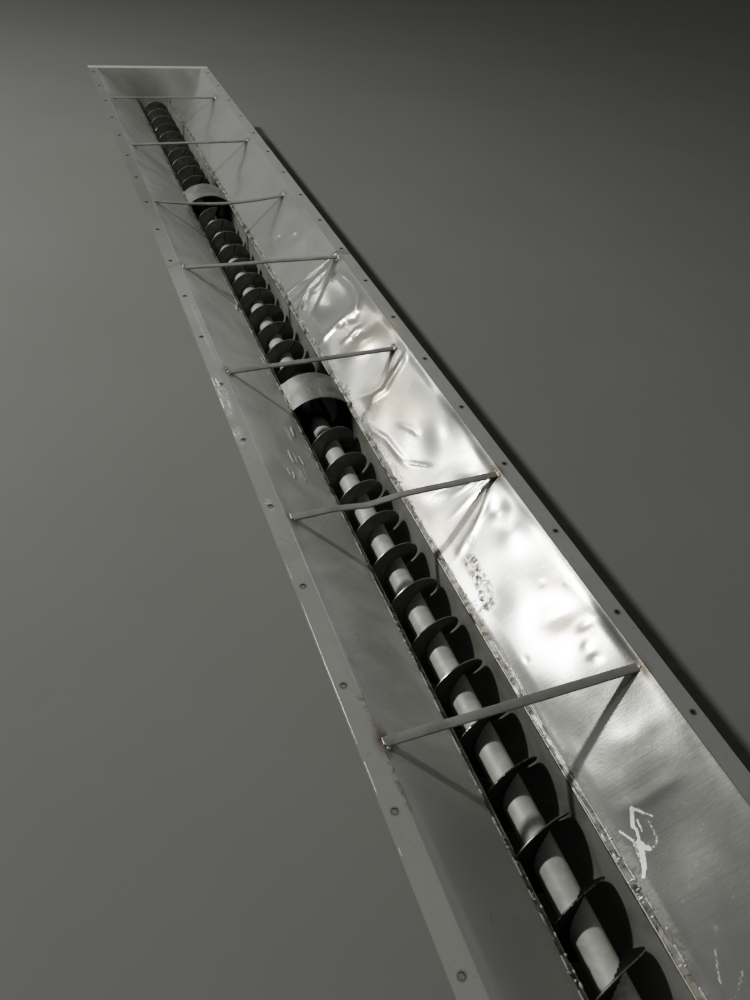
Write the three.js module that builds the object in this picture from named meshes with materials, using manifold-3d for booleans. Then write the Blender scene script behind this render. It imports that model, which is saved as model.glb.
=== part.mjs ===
import * as THREE from 'three';
import { mergeVertices } from 'three/addons/utils/BufferGeometryUtils.js';
import Module from 'manifold-3d';

// Screw conveyor: an open feed hopper of sheet steel over a U-shaped trough, with one long screw in it.
// Millimetres. X runs across, Y along the screw (the near end is at -Y), Z up from the floor.

const wasm = await Module();
wasm.setup();

// Driving dimensions, across the section
const sheet = 3;                 // trough, slopes and covers
const seam = 0.3;                // gap between pieces that touch
const troughRadius = 87.5;       // inside of the U
const axisHeight = 120;          // screw axis above the floor
const troughWall = 76;           // upright wall above the axis
const slopeRise = 160;
const slopeRun = 201.5;
const rimWidth = 44.5;           // flat rim outside each slope
const wallTop = axisHeight + troughWall;
const rimTop = wallTop + slopeRise;
const mouthHalf = troughRadius + slopeRun;
const troughSteps = 16;          // flats round the U

// Driving dimensions, along the screw
const length = 4980;             // between the inner faces of the end plates
const nearEnd = -length / 2;
const farEnd = length / 2;
const hangerNear = -592;
const hangerFar = 1005;
const plateJoint = 45;           // where the slopes' two sheets meet

// Tie bars: flat bars across the mouth, welded to the slopes just below the rims and none quite square.
// Each end has its station along Y and the height of the bar's middle.
const barWidth = 20;
const barThickness = 5;
const tieBars = [
  { left: [-1870, 349], right: [-1869, 346] },
  { left: [-1258, 341], right: [-1246, 348], kink: 12 },
  { left: [-634, 346], right: [-587, 331] },
  { left: [45, 341], right: [20, 350] },
  { left: [618, 347], right: [660, 331], sag: 22 },
  { left: [1290, 339], right: [1310, 338] },
  { left: [2025, 332], right: [2000, 336] },
];
const kinkAt = 0.34;             // share of the bar's length from its left end
const kinkReach = 0.16;
const bentSteps = 25;

// Arched covers and hanger bearings
const coverLength = 140;
const coverRise = 40;
const coverRadius = 128;         // outside
const hangerGap = 104;           // between the pipe ends
const hangerWidth = 60;
const hangerOuter = 36;
const strapHalf = 7;
const strapFoot = 28;            // the strap ends this far above the axis, inside the housing

// Screw
const flightRadius = 82;
const flightThickness = 4;
const flightFit = 0.7;           // gap between the strip and the faceted pipe
const pitch = 127.6;
const pipeRadius = 31.75;
const pipeBore = 26.75;
const journalRadius = 19;
const spigotRadius = pipeBore - seam;
const spigotLength = 60;
const bushRadius = 19.6;
const stepsPerTurn = 20;
const firstCrest = -2338;        // the flight crosses the left side of the screw here
const endInset = 20;             // the pipe stops this far inside each end plate
const flightSpans = [
  { name: 'flight_near', from: nearEnd + endInset, to: hangerNear - 123 },
  { name: 'flight_middle', from: hangerNear + 137, to: hangerFar - 115 },
  { name: 'flight_far', from: hangerFar + 115, to: farEnd - endInset },
];

// End plates, end bearings and saddles
const endPlate = 4;
const endPlateEdge = 12;         // how far the end plate stands past the trough
const endPlateCorner = 12;       // depth of its straight edge under the rim
const shaftHole = 26;
const bearingSide = 120;
const bearingFlange = 14;
const bearingBoss = 42;
const bossRadius = 45;
const stubPast = 12;
const saddleHalf = 150;
const saddleTaper = 40;          // the web's top corners stand this far in from the foot's ends
const saddleWeb = 6;
const saddleFoot = 60;
const saddleInset = 70;
const saddleStations = [nearEnd + saddleInset, hangerNear, hangerFar, farEnd - saddleInset];

// Bolt holes along both rims
const holeRadius = 5;
const holeCount = 19;
const holePitch = 259;
const firstHole = -2256;
const holeAcross = mouthHalf + rimWidth / 2 + 3;
const holeMargin = 20;           // no hole this close to a sheet's end

const steel = new THREE.MeshStandardMaterial({ color: 0x9c9d98, roughness: 0.35, metalness: 0.9 });
const dullSteel = new THREE.MeshStandardMaterial({ color: 0x85867f, roughness: 0.5, metalness: 0.8 });
const barSteel = new THREE.MeshStandardMaterial({ color: 0x77756c, roughness: 0.55, metalness: 0.7 });
const darkSteel = new THREE.MeshStandardMaterial({ color: 0x2b2b2b, roughness: 0.6, metalness: 0.5 });
const paintedSteel = new THREE.MeshStandardMaterial({ color: 0xa9aaa5, roughness: 0.5, metalness: 0.3 });
const castIron = new THREE.MeshStandardMaterial({ color: 0x4a4d4c, roughness: 0.7, metalness: 0.4 });

const part = new THREE.Group();

function addMesh(name, geometry, material) {
  const mesh = new THREE.Mesh(geometry, material);
  mesh.name = name;
  part.add(mesh);
  return mesh;
}

// A closed three.js geometry as a solid, and back
function toSolid(geometry) {
  const bare = geometry.clone();
  bare.deleteAttribute('normal');
  bare.deleteAttribute('uv');
  const merged = mergeVertices(bare, 1e-4);
  return new wasm.Manifold(new wasm.Mesh({
    numProp: 3,
    vertProperties: new Float32Array(merged.attributes.position.array),
    triVerts: new Uint32Array(merged.index.array),
  }));
}

function toGeometry(solid) {
  const mesh = solid.getMesh();
  const geometry = new THREE.BufferGeometry();
  geometry.setAttribute('position', new THREE.BufferAttribute(new Float32Array(mesh.vertProperties), 3));
  geometry.setIndex(new THREE.BufferAttribute(new Uint32Array(mesh.triVerts), 1));
  geometry.computeVertexNormals();
  return geometry;
}

// An outline in X and Z, carried along Y from one station to another
function alongY(outline, fromY, toY, curveSegments = 12) {
  const geometry = new THREE.ExtrudeGeometry(outline, {
    depth: toY - fromY,
    bevelEnabled: false,
    curveSegments,
  });
  geometry.rotateX(Math.PI / 2);
  geometry.translate(0, toY, 0);
  return geometry;
}

function shapeOf(points) {
  return new THREE.Shape(points.map(([x, z]) => new THREE.Vector2(x, z)));
}

// Points of an arc in X and Z about a centre, angles in degrees from +X towards +Z
function arcPoints(centreZ, radius, fromAngle, toAngle, steps) {
  const points = [];
  for (let i = 0; i <= steps; i += 1) {
    const angle = THREE.MathUtils.degToRad(fromAngle + (toAngle - fromAngle) * i / steps);
    points.push([radius * Math.cos(angle), centreZ + radius * Math.sin(angle)]);
  }
  return points;
}

function makeTrough(name, fromY, toY) {
  const outer = troughRadius + sheet;
  const outline = [
    [outer, wallTop],
    [troughRadius, wallTop],
    ...arcPoints(axisHeight, troughRadius, 0, -180, troughSteps),
    [-troughRadius, wallTop],
    [-outer, wallTop],
    ...arcPoints(axisHeight, outer, 180, 360, troughSteps),
  ];
  addMesh(name, alongY(shapeOf(outline), fromY, toY), steel);
}

// Slope with its flat rim, folded from one sheet; side is 1 for the right and -1 for the left
const slopeAngle = Math.atan2(slopeRise, slopeRun);
const slopeFoot = sheet / Math.sin(slopeAngle);
const foldShift = sheet * Math.tan(slopeAngle / 2);

function slopeOutline(side) {
  const foot = wallTop + seam;
  const inFoot = troughRadius + seam / Math.tan(slopeAngle);
  const points = [
    [inFoot, foot],
    [mouthHalf, rimTop],
    [mouthHalf + rimWidth, rimTop],
    [mouthHalf + rimWidth, rimTop - sheet],
    [mouthHalf + foldShift, rimTop - sheet],
    [inFoot + slopeFoot, foot],
  ];
  return shapeOf(points.map(([x, z]) => [x * side, z]));
}

function holeStations() {
  return Array.from({ length: holeCount }, (unused, i) => firstHole + i * holePitch);
}

function makeSlope(name, side, fromY, toY) {
  let solid = toSolid(alongY(slopeOutline(side), fromY, toY));
  for (const y of holeStations().filter((at) => at > fromY + holeMargin && at < toY - holeMargin)) {
    const drill = new THREE.CylinderGeometry(holeRadius, holeRadius, 4 * sheet, 12);
    drill.rotateX(Math.PI / 2);
    drill.translate(side * holeAcross, y, rimTop);
    solid = solid.subtract(toSolid(drill));
  }
  addMesh(name, toGeometry(solid), steel);
}

// Where the slope's inside face stands at a height, kept clear by the seam
function slopeInside(z) {
  return troughRadius + (z - wallTop) / Math.tan(slopeAngle) - seam / Math.sin(slopeAngle);
}

// One long edge of a tie bar, from the left slope to the right one, lifted off its middle line
function barEdge({ left, right, sag = 0, kink = 0 }, lift) {
  const from = [-slopeInside(left[1] + lift), left[1] + lift];
  const to = [slopeInside(right[1] + lift), right[1] + lift];
  const steps = sag || kink ? bentSteps : 1;
  return Array.from({ length: steps + 1 }, (unused, i) => {
    const along = i / steps;
    const hang = sag * (1 - (2 * along - 1) ** 2);
    const bend = kink * Math.max(0, 1 - Math.abs(along - kinkAt) / kinkReach);
    const z = THREE.MathUtils.lerp(from[1], to[1], along) - hang - bend;
    return [THREE.MathUtils.lerp(from[0], to[0], along), z];
  });
}

function makeTieBar(bar, index) {
  const lower = barEdge(bar, -barThickness / 2);
  const upper = barEdge(bar, barThickness / 2);
  const geometry = alongY(shapeOf([...lower, ...upper.reverse()]), -barWidth / 2, barWidth / 2);
  const place = geometry.attributes.position;
  for (let i = 0; i < place.count; i += 1) {
    const along = (place.getX(i) / mouthHalf + 1) / 2;
    place.setY(i, place.getY(i) + THREE.MathUtils.lerp(bar.left[0], bar.right[0], along));
  }
  addMesh(`tie_bar_${index + 1}`, geometry, barSteel);
}

// Where a circle about (0, centreZ) meets the slope's inside face, kept clear by the seam
function circleOnSlope(centreZ, radius) {
  const grade = Math.tan(slopeAngle);
  const lift = wallTop - grade * troughRadius + seam / Math.cos(slopeAngle) - centreZ;
  const a = 1 + grade * grade;
  const b = 2 * grade * lift;
  const c = lift * lift - radius * radius;
  const x = (-b + Math.sqrt(b * b - 4 * a * c)) / (2 * a);
  return THREE.MathUtils.radToDeg(Math.atan2(grade * x + lift, x));
}

function makeCover(name, middle) {
  const centreZ = wallTop + coverRise - coverRadius;
  const inner = coverRadius - sheet;
  const outerAngle = circleOnSlope(centreZ, coverRadius);
  const innerAngle = circleOnSlope(centreZ, inner);
  const outline = [
    ...arcPoints(centreZ, coverRadius, outerAngle, 180 - outerAngle, 14),
    ...arcPoints(centreZ, inner, 180 - innerAngle, innerAngle, 14),
  ];
  addMesh(name, alongY(shapeOf(outline), middle - coverLength / 2, middle + coverLength / 2), paintedSteel);
}

// Hanger bearing: a round housing round the journal, on a strap that comes down from the cover
function makeHanger(name, middle) {
  const underCover = wallTop + coverRise - sheet - seam;
  const strapEnd = axisHeight + strapFoot;
  const strap = new THREE.BoxGeometry(2 * strapHalf, hangerWidth, underCover - strapEnd);
  strap.translate(0, middle, (underCover + strapEnd) / 2);
  const housing = new THREE.CylinderGeometry(hangerOuter, hangerOuter, hangerWidth, 24);
  housing.translate(0, middle, 0);
  const bore = new THREE.CylinderGeometry(bushRadius, bushRadius, hangerWidth + 10, 24);
  bore.translate(0, middle, 0);
  const round = toSolid(housing).subtract(toSolid(bore)).translate([0, 0, axisHeight]);
  const under = coverRadius - sheet - seam;
  const cut = new THREE.CylinderGeometry(under, under, hangerWidth, 64);
  cut.translate(0, middle, wallTop + coverRise - coverRadius);
  const solid = toSolid(strap).intersect(toSolid(cut)).add(round);
  addMesh(name, toGeometry(solid), castIron);
}

function makeEndPlate(name, side) {
  const edge = troughRadius + endPlateEdge;
  const outline = shapeOf([
    [mouthHalf + rimWidth, rimTop],
    [-mouthHalf - rimWidth, rimTop],
    [-mouthHalf - rimWidth, rimTop - endPlateCorner],
    [-edge - endPlateEdge, wallTop],
    ...arcPoints(axisHeight, edge, 180, 360, 20),
    [edge + endPlateEdge, wallTop],
    [mouthHalf + rimWidth, rimTop - endPlateCorner],
  ]);
  const hole = new THREE.Path();
  hole.absarc(0, axisHeight, shaftHole, 0, 2 * Math.PI, true);
  outline.holes.push(hole);
  const inside = side < 0 ? nearEnd - seam : farEnd + seam;
  const outside = inside + side * endPlate;
  const plate = alongY(outline, Math.min(inside, outside), Math.max(inside, outside), 12);
  const rim = new THREE.BoxGeometry(2 * (mouthHalf + rimWidth), rimWidth, sheet);
  rim.translate(0, inside + side * rimWidth / 2, rimTop - sheet / 2);
  addMesh(name, toGeometry(toSolid(plate).add(toSolid(rim))), steel);
}

// Square flange bearing on the outside of an end plate
function makeEndBearing(name, side) {
  const face = side < 0 ? nearEnd - seam - endPlate - seam : farEnd + seam + endPlate + seam;
  const flange = new THREE.BoxGeometry(bearingSide, bearingFlange, bearingSide);
  flange.translate(0, face + side * bearingFlange / 2, axisHeight);
  const boss = new THREE.CylinderGeometry(bossRadius, bossRadius, bearingBoss, 32);
  boss.translate(0, face + side * bearingBoss / 2, axisHeight);
  const bore = new THREE.CylinderGeometry(bushRadius, bushRadius, bearingBoss + 20, 24);
  bore.translate(0, face + side * bearingBoss / 2, axisHeight);
  addMesh(name, toGeometry(toSolid(flange).add(toSolid(boss)).subtract(toSolid(bore))), castIron);
}

// Saddle: an upright web cut to the trough, on a flat foot
function makeSaddle(name, middle) {
  const cup = troughRadius + sheet + seam;
  const cupStep = 180 / troughSteps;
  const webTop = axisHeight - cup * Math.sin(THREE.MathUtils.degToRad(cupStep));
  const outline = shapeOf([
    [saddleTaper - saddleHalf, webTop],
    [-saddleHalf, saddleWeb],
    [-saddleHalf, 0],
    [saddleHalf, 0],
    [saddleHalf, saddleWeb],
    [saddleHalf - saddleTaper, webTop],
    ...arcPoints(axisHeight, cup, -cupStep, cupStep - 180, troughSteps - 2),
  ]);
  const web = alongY(outline, middle - saddleWeb / 2, middle + saddleWeb / 2);
  const foot = new THREE.BoxGeometry(2 * saddleHalf, saddleFoot, saddleWeb);
  foot.translate(0, middle, saddleWeb / 2);
  addMesh(name, toGeometry(toSolid(web).add(toSolid(foot))), dullSteel);
}

// A turned piece on the screw axis: the profile gives radius and station along Y
function turned(profile, sides) {
  return new THREE.LatheGeometry(profile.map(([r, y]) => new THREE.Vector2(r, y)), sides);
}

function onAxis(name, geometry, material) {
  geometry.translate(0, 0, axisHeight);
  addMesh(name, geometry, material);
}

function makePipe(name, fromY, toY) {
  onAxis(name, turned([
    [pipeBore, fromY], [pipeRadius, fromY], [pipeRadius, toY], [pipeBore, toY], [pipeBore, fromY],
  ], 24), paintedSteel);
}

function makeJournal(name, middle) {
  const half = hangerGap / 2;
  const inner = half + seam;
  onAxis(name, turned([
    [0, middle - inner - spigotLength], [spigotRadius, middle - inner - spigotLength],
    [spigotRadius, middle - inner], [journalRadius, middle - inner],
    [journalRadius, middle + inner], [spigotRadius, middle + inner],
    [spigotRadius, middle + inner + spigotLength], [0, middle + inner + spigotLength],
  ], 24), darkSteel);
}

// Stub shaft: fills the pipe's end and runs out through the end plate and its bearing
function makeStub(name, side) {
  const pipeEnd = side < 0 ? nearEnd + endInset : farEnd - endInset;
  const outEnd = (side < 0 ? nearEnd : farEnd) + side * (endPlate + bearingBoss + stubPast);
  const profile = [
    [0, pipeEnd - side * spigotLength], [spigotRadius, pipeEnd - side * spigotLength],
    [spigotRadius, pipeEnd], [journalRadius, pipeEnd], [journalRadius, outEnd], [0, outEnd],
  ];
  if (side < 0) profile.reverse();
  onAxis(name, turned(profile, 24), darkSteel);
}

// Flight: a right-hand helical strip round the pipe, a step of rings joined into one closed band
function makeFlight({ name, from, to }) {
  const steps = Math.round((to - from) / pitch * stepsPerTurn);
  const inner = pipeRadius + flightFit;
  const positions = [];
  for (let i = 0; i <= steps; i += 1) {
    const y = from + (to - from) * i / steps;
    const angle = Math.PI - (y - firstCrest) / pitch * 2 * Math.PI;
    for (const [radius, shift] of [[inner, -1], [flightRadius, -1], [flightRadius, 1], [inner, 1]]) {
      positions.push(radius * Math.cos(angle), y + shift * flightThickness / 2, radius * Math.sin(angle));
    }
  }
  const index = [];
  for (let i = 0; i < steps; i += 1) {
    for (let k = 0; k < 4; k += 1) {
      const a = 4 * i + k;
      const b = 4 * i + (k + 1) % 4;
      index.push(a, b + 4, b, a, a + 4, b + 4);
    }
  }
  const last = 4 * steps;
  index.push(0, 1, 2, 0, 2, 3, last, last + 2, last + 1, last, last + 3, last + 2);
  const geometry = new THREE.BufferGeometry();
  geometry.setAttribute('position', new THREE.Float32BufferAttribute(positions, 3));
  geometry.setIndex(index);
  geometry.computeVertexNormals();
  onAxis(name, geometry, darkSteel);
}

makeTrough('trough_near', nearEnd, hangerNear - seam / 2);
makeTrough('trough_middle', hangerNear + seam / 2, hangerFar - seam / 2);
makeTrough('trough_far', hangerFar + seam / 2, farEnd);
for (const [label, side] of [['left', -1], ['right', 1]]) {
  makeSlope(`slope_${label}_near`, side, nearEnd, plateJoint - seam / 2);
  makeSlope(`slope_${label}_far`, side, plateJoint + seam / 2, farEnd);
}
makeEndPlate('end_plate_near', -1);
makeEndPlate('end_plate_far', 1);
tieBars.forEach(makeTieBar);
makeCover('arched_cover_near', hangerNear);
makeCover('arched_cover_far', hangerFar);
makeHanger('hanger_bearing_near', hangerNear);
makeHanger('hanger_bearing_far', hangerFar);
makeEndBearing('end_bearing_near', -1);
makeEndBearing('end_bearing_far', 1);
saddleStations.forEach((y, index) => makeSaddle(`saddle_${index + 1}`, y));

makePipe('shaft_pipe_near', nearEnd + endInset, hangerNear - hangerGap / 2);
makePipe('shaft_pipe_middle', hangerNear + hangerGap / 2, hangerFar - hangerGap / 2);
makePipe('shaft_pipe_far', hangerFar + hangerGap / 2, farEnd - endInset);
makeJournal('hanger_journal_near', hangerNear);
makeJournal('hanger_journal_far', hangerFar);
makeStub('stub_shaft_near', -1);
makeStub('stub_shaft_far', 1);
flightSpans.forEach(makeFlight);

export default part;
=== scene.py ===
import math

import bmesh
import bpy
import numpy as np
from mathutils import Matrix, Vector


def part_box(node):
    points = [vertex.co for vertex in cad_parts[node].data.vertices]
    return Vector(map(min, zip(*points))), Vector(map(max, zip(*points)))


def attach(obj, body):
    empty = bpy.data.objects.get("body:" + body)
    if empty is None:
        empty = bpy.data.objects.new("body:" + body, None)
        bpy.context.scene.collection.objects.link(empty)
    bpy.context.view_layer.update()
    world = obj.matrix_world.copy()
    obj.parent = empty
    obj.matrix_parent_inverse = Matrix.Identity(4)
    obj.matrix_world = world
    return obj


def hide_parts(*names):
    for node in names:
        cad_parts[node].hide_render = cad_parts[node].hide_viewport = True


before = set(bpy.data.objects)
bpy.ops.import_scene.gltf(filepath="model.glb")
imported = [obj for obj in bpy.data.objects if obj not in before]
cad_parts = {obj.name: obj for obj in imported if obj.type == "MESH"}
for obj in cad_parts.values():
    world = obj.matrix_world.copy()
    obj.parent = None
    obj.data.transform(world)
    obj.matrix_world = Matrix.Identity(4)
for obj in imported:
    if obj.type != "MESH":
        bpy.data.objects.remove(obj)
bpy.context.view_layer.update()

# The section and the stations, in metres, measured on the frame where it shows them
troughLow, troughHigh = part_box("trough_near")
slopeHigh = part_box("slope_right_near")[1]
coverLow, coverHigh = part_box("arched_cover_near")
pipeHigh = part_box("shaft_pipe_near")[1]
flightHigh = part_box("flight_middle")[1]

sheet = 0.003                              # thickness of the trough, slopes and covers
rimWidth = 0.0445
troughRadius = troughHigh.x - sheet
axisZ = troughLow.z + troughHigh.x         # the screw turns here
wallTop = troughHigh.z
rimTop = slopeHigh.z
rimOuter = slopeHigh.x
foldX = rimOuter - rimWidth
slopeAngle = math.atan2(rimTop - wallTop, foldX - troughRadius)
slopeLength = math.hypot(rimTop - wallTop, foldX - troughRadius)
pipeRadius = pipeHigh.x
flightRadius = flightHigh.x
nearEnd = troughLow.y
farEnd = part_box("trough_far")[1].y
plateJoint = slopeHigh.y
hangers = {end: sum(c.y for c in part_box("arched_cover_" + end)) / 2 for end in ("near", "far")}

print("frame loaded, length", round(farEnd - nearEnd, 3))


# Mesh helpers. A part is (points, faces), where faces is a list of corner arrays of 3 or 4 columns.

def gridFaces(rows, cols, closeCols=False):
    # Quads between the neighbours of a rows by cols grid of points
    i = np.arange(rows - 1)[:, None]
    j = np.arange(cols if closeCols else cols - 1)[None, :]
    beside = (j + 1) % cols
    corners = [i * cols + j, i * cols + beside, (i + 1) * cols + beside, (i + 1) * cols + j]
    return np.stack(np.broadcast_arrays(*corners), -1).reshape(-1, 4)


def volume(points, faces):
    # Signed volume: a sixth of the sum of a . (b x c) over the triangles of every face
    total = 0.0
    for f in faces:
        for k in range(1, f.shape[1] - 1):
            a, b, c = points[f[:, 0]], points[f[:, k]], points[f[:, k + 1]]
            total += np.einsum("ij,ij->", a, np.cross(b, c)) / 6
    return total


def closed(points, faces):
    # A closed part with its faces turned outwards
    if volume(points, faces) < 0:
        faces = [f[:, ::-1] for f in faces]
    return points, faces


def joined(parts):
    # Several parts as one, with the corner numbers of each moved on
    points, faces, count = [], [], 0
    for p, fs in parts:
        points.append(p)
        faces += [f + count for f in fs]
        count += len(p)
    return np.vstack(points), faces


def tube(rings):
    # A closed tube from a rows by cols grid of ring points, with a fan over each end
    rows, cols = rings.shape[:2]
    middles = np.stack([rings[0].mean(0), rings[-1].mean(0)])
    j = np.arange(cols)
    beside, last = (j + 1) % cols, (rows - 1) * cols
    fans = [np.stack([np.full(cols, rows * cols), beside, j], -1),
            np.stack([np.full(cols, rows * cols + 1), last + j, last + beside], -1)]
    points = np.vstack([rings.reshape(-1, 3), middles])
    return closed(points, [gridFaces(rows, cols, closeCols=True), *fans])


def normalsOf(points, quads):
    # Sum of the normals of the quads round each point, brought to length 1
    across = np.cross(points[quads[:, 2]] - points[quads[:, 0]], points[quads[:, 3]] - points[quads[:, 1]])
    total = np.zeros_like(points)
    for k in range(4):
        np.add.at(total, quads[:, k], across)
    return total / np.maximum(np.linalg.norm(total, axis=1, keepdims=True), 1e-12)


def thickened(points, quads, thickness):
    # A second skin lies the thickness behind the first, and each loose edge gets a strip between the two
    points = points.reshape(-1, 3)
    used = np.unique(quads)
    renumber = np.zeros(len(points), int)
    renumber[used] = np.arange(len(used))
    points, quads = points[used], renumber[quads]
    n = len(points)
    back = points - normalsOf(points, quads) * thickness
    edges = np.concatenate([quads[:, [k, (k + 1) % 4]] for k in range(4)])
    key = np.sort(edges, axis=1) @ np.array([n, 1])
    where, count = np.unique(key, return_index=True, return_counts=True)[1:]
    start, stop = edges[where[count == 1]].T
    strips = np.stack([stop, start, start + n, stop + n], -1)
    return np.vstack([points, back]), [quads, quads[:, ::-1] + n, strips]


def makePiece(name, part, finish, body, replaced=(), sharp=35):
    # Puts a part into a new object that rides on a body
    points, faces = part
    mesh = bpy.data.meshes.new(name)
    mesh.vertices.add(len(points))
    mesh.vertices.foreach_set("co", np.asarray(points, np.float32).ravel())
    loops = np.concatenate([f.ravel() for f in faces]).astype(np.int32)
    sizes = np.concatenate([np.full(len(f), f.shape[1]) for f in faces])
    mesh.loops.add(len(loops))
    mesh.loops.foreach_set("vertex_index", loops)
    mesh.polygons.add(len(sizes))
    mesh.polygons.foreach_set("loop_start", np.concatenate([[0], np.cumsum(sizes)[:-1]]).astype(np.int32))
    mesh.update(calc_edges=True)
    mesh.validate()
    return dressed(name, mesh, finish, body, replaced, sharp)


def placed(name, data):
    # A new object in the scene, at the origin
    thing = bpy.data.objects.new(name, data)
    bpy.context.scene.collection.objects.link(thing)
    return thing


def dressed(name, mesh, finish, body, replaced=(), sharp=35, bevel=None):
    # A mesh becomes a piece: smooth but for edges sharper than the angle, with its finish and its body
    mesh.polygons.foreach_set("use_smooth", np.ones(len(mesh.polygons), bool))
    mesh.set_sharp_from_angle(angle=math.radians(sharp))
    mesh.materials.append(finish)
    piece = placed(name, mesh)
    if bevel:
        soft = piece.modifiers.new("edges", "BEVEL")
        soft.width = bevel
        soft.segments = 2
        soft.limit_method = "ANGLE"
        soft.angle_limit = math.radians(40)
        soft.harden_normals = True
    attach(piece, body)
    if replaced:
        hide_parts(*replaced)
    return piece


def waves(x, y, seed, count, shortest, longest):
    # A gentle random surface: a sum of sine waves with seeded directions and phases, lower where shorter
    rng = np.random.default_rng(seed)
    total = 0
    for length in np.geomspace(longest, shortest, count):
        turn, phase = rng.uniform(0, math.pi), rng.uniform(0, 2 * math.pi)
        along = math.cos(turn) * x + math.sin(turn) * y
        total = total + np.sin(2 * math.pi * along / length + phase) * (length / longest)
    return total


def smooth(value, low, high):
    # 0 below low, 1 above high, and 3 t^2 - 2 t^3 between the two
    t = np.clip((value - low) / (high - low), 0, 1)
    return t * t * (3 - 2 * t)


# Finishes. Sums and products of Value objects become Math nodes.

class Value:
    # One output of a node
    def __init__(self, nodes, socket):
        self.nodes, self.socket = nodes, socket

    def math(self, operation, *others):
        return self.nodes.add("ShaderNodeMath", {"operation": operation}, dict(enumerate((self, *others))))

    def __add__(self, other):
        return self.math("ADD", other)

    def __sub__(self, other):
        return self.math("SUBTRACT", other)

    def __rsub__(self, other):
        return self.math("MULTIPLY_ADD", -1.0, other)

    def __mul__(self, other):
        return self.math("MULTIPLY", other)

    def __abs__(self):
        return self.math("ABSOLUTE")

    __radd__ = __add__
    __rmul__ = __mul__

    def least(self, other):
        return self.math("MINIMUM", other)

    def most(self, other):
        return self.math("MAXIMUM", other)

    def between(self, low, high):
        # 0 below low, 1 above high, smooth between the two
        return self.nodes.add("ShaderNodeMapRange", {"interpolation_type": "SMOOTHSTEP"},
                              {0: self, 1: low, 2: high})

    def beside(self, name):
        # Another output of the same node
        return Value(self.nodes, self.socket.node.outputs[name])


class Nodes:
    def __init__(self, tree):
        self.tree = tree

    def add(self, kind, settings=None, values=None, out=0):
        # Any node: its settings first, then the values or links of its sockets
        node = self.tree.nodes.new(kind)
        for label, value in (settings or {}).items():
            if label == "stops":
                ramp = node.color_ramp
                while len(ramp.elements) < len(value):
                    ramp.elements.new(0.5)
                for element, (position, colour) in zip(ramp.elements, value):
                    element.position, element.color = position, colour
            else:
                setattr(node, label, value)
        for label, value in (values or {}).items():
            self.plug(node.inputs[label], value)
        return Value(self, node.outputs[out])

    def plug(self, socket, value):
        # A link from another node, or a number or colour of the socket's own
        if isinstance(value, Value):
            self.tree.links.new(value.socket, socket)
        else:
            socket.default_value = value

    def mix(self, share, first, second):
        # Colour between two colours
        return self.add("ShaderNodeMix", {"data_type": "RGBA"},
                        {0: share, 6: opaque(first), 7: opaque(second)}, out=2)


class Finish(Nodes):
    def __init__(self, name):
        self.material = bpy.data.materials.new(name)
        self.material.use_nodes = True
        super().__init__(self.material.node_tree)
        self.shader = self.tree.nodes["Principled BSDF"]
        self.place = self.add("ShaderNodeTexCoord", out="Object")
        self.x = self.add("ShaderNodeSeparateXYZ", values={0: self.place}, out="X")
        self.y, self.z = self.x.beside("Y"), self.x.beside("Z")

    def stretched(self, scale):
        return self.add("ShaderNodeMapping", values={"Vector": self.place, "Scale": scale})

    def noise(self, scale, detail=3.0, rough=0.5, wander=0.0, at=None):
        return self.add("ShaderNodeTexNoise", values={
            "Vector": at or self.place, "Scale": scale, "Detail": detail, "Roughness": rough,
            "Distortion": wander})

    def mask(self, name):
        # A mask kept on the points of the mesh
        return self.add("ShaderNodeAttribute", {"attribute_name": name}, out="Fac")

    def paint(self, colour, rough, metal=None):
        for label, value in (("Base Color", colour), ("Roughness", rough), ("Metallic", metal)):
            if value is not None:
                self.plug(self.shader.inputs[label], value)

    def relief(self, height, distance, strength):
        bump = self.add("ShaderNodeBump", values={
            "Height": height, "Distance": distance, "Strength": strength})
        self.plug(self.shader.inputs["Normal"], bump)
        return self.material


def opaque(colour):
    # A colour of three numbers gets its fourth
    return (*colour, 1.0) if isinstance(colour, tuple) and len(colour) == 3 else colour


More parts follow.
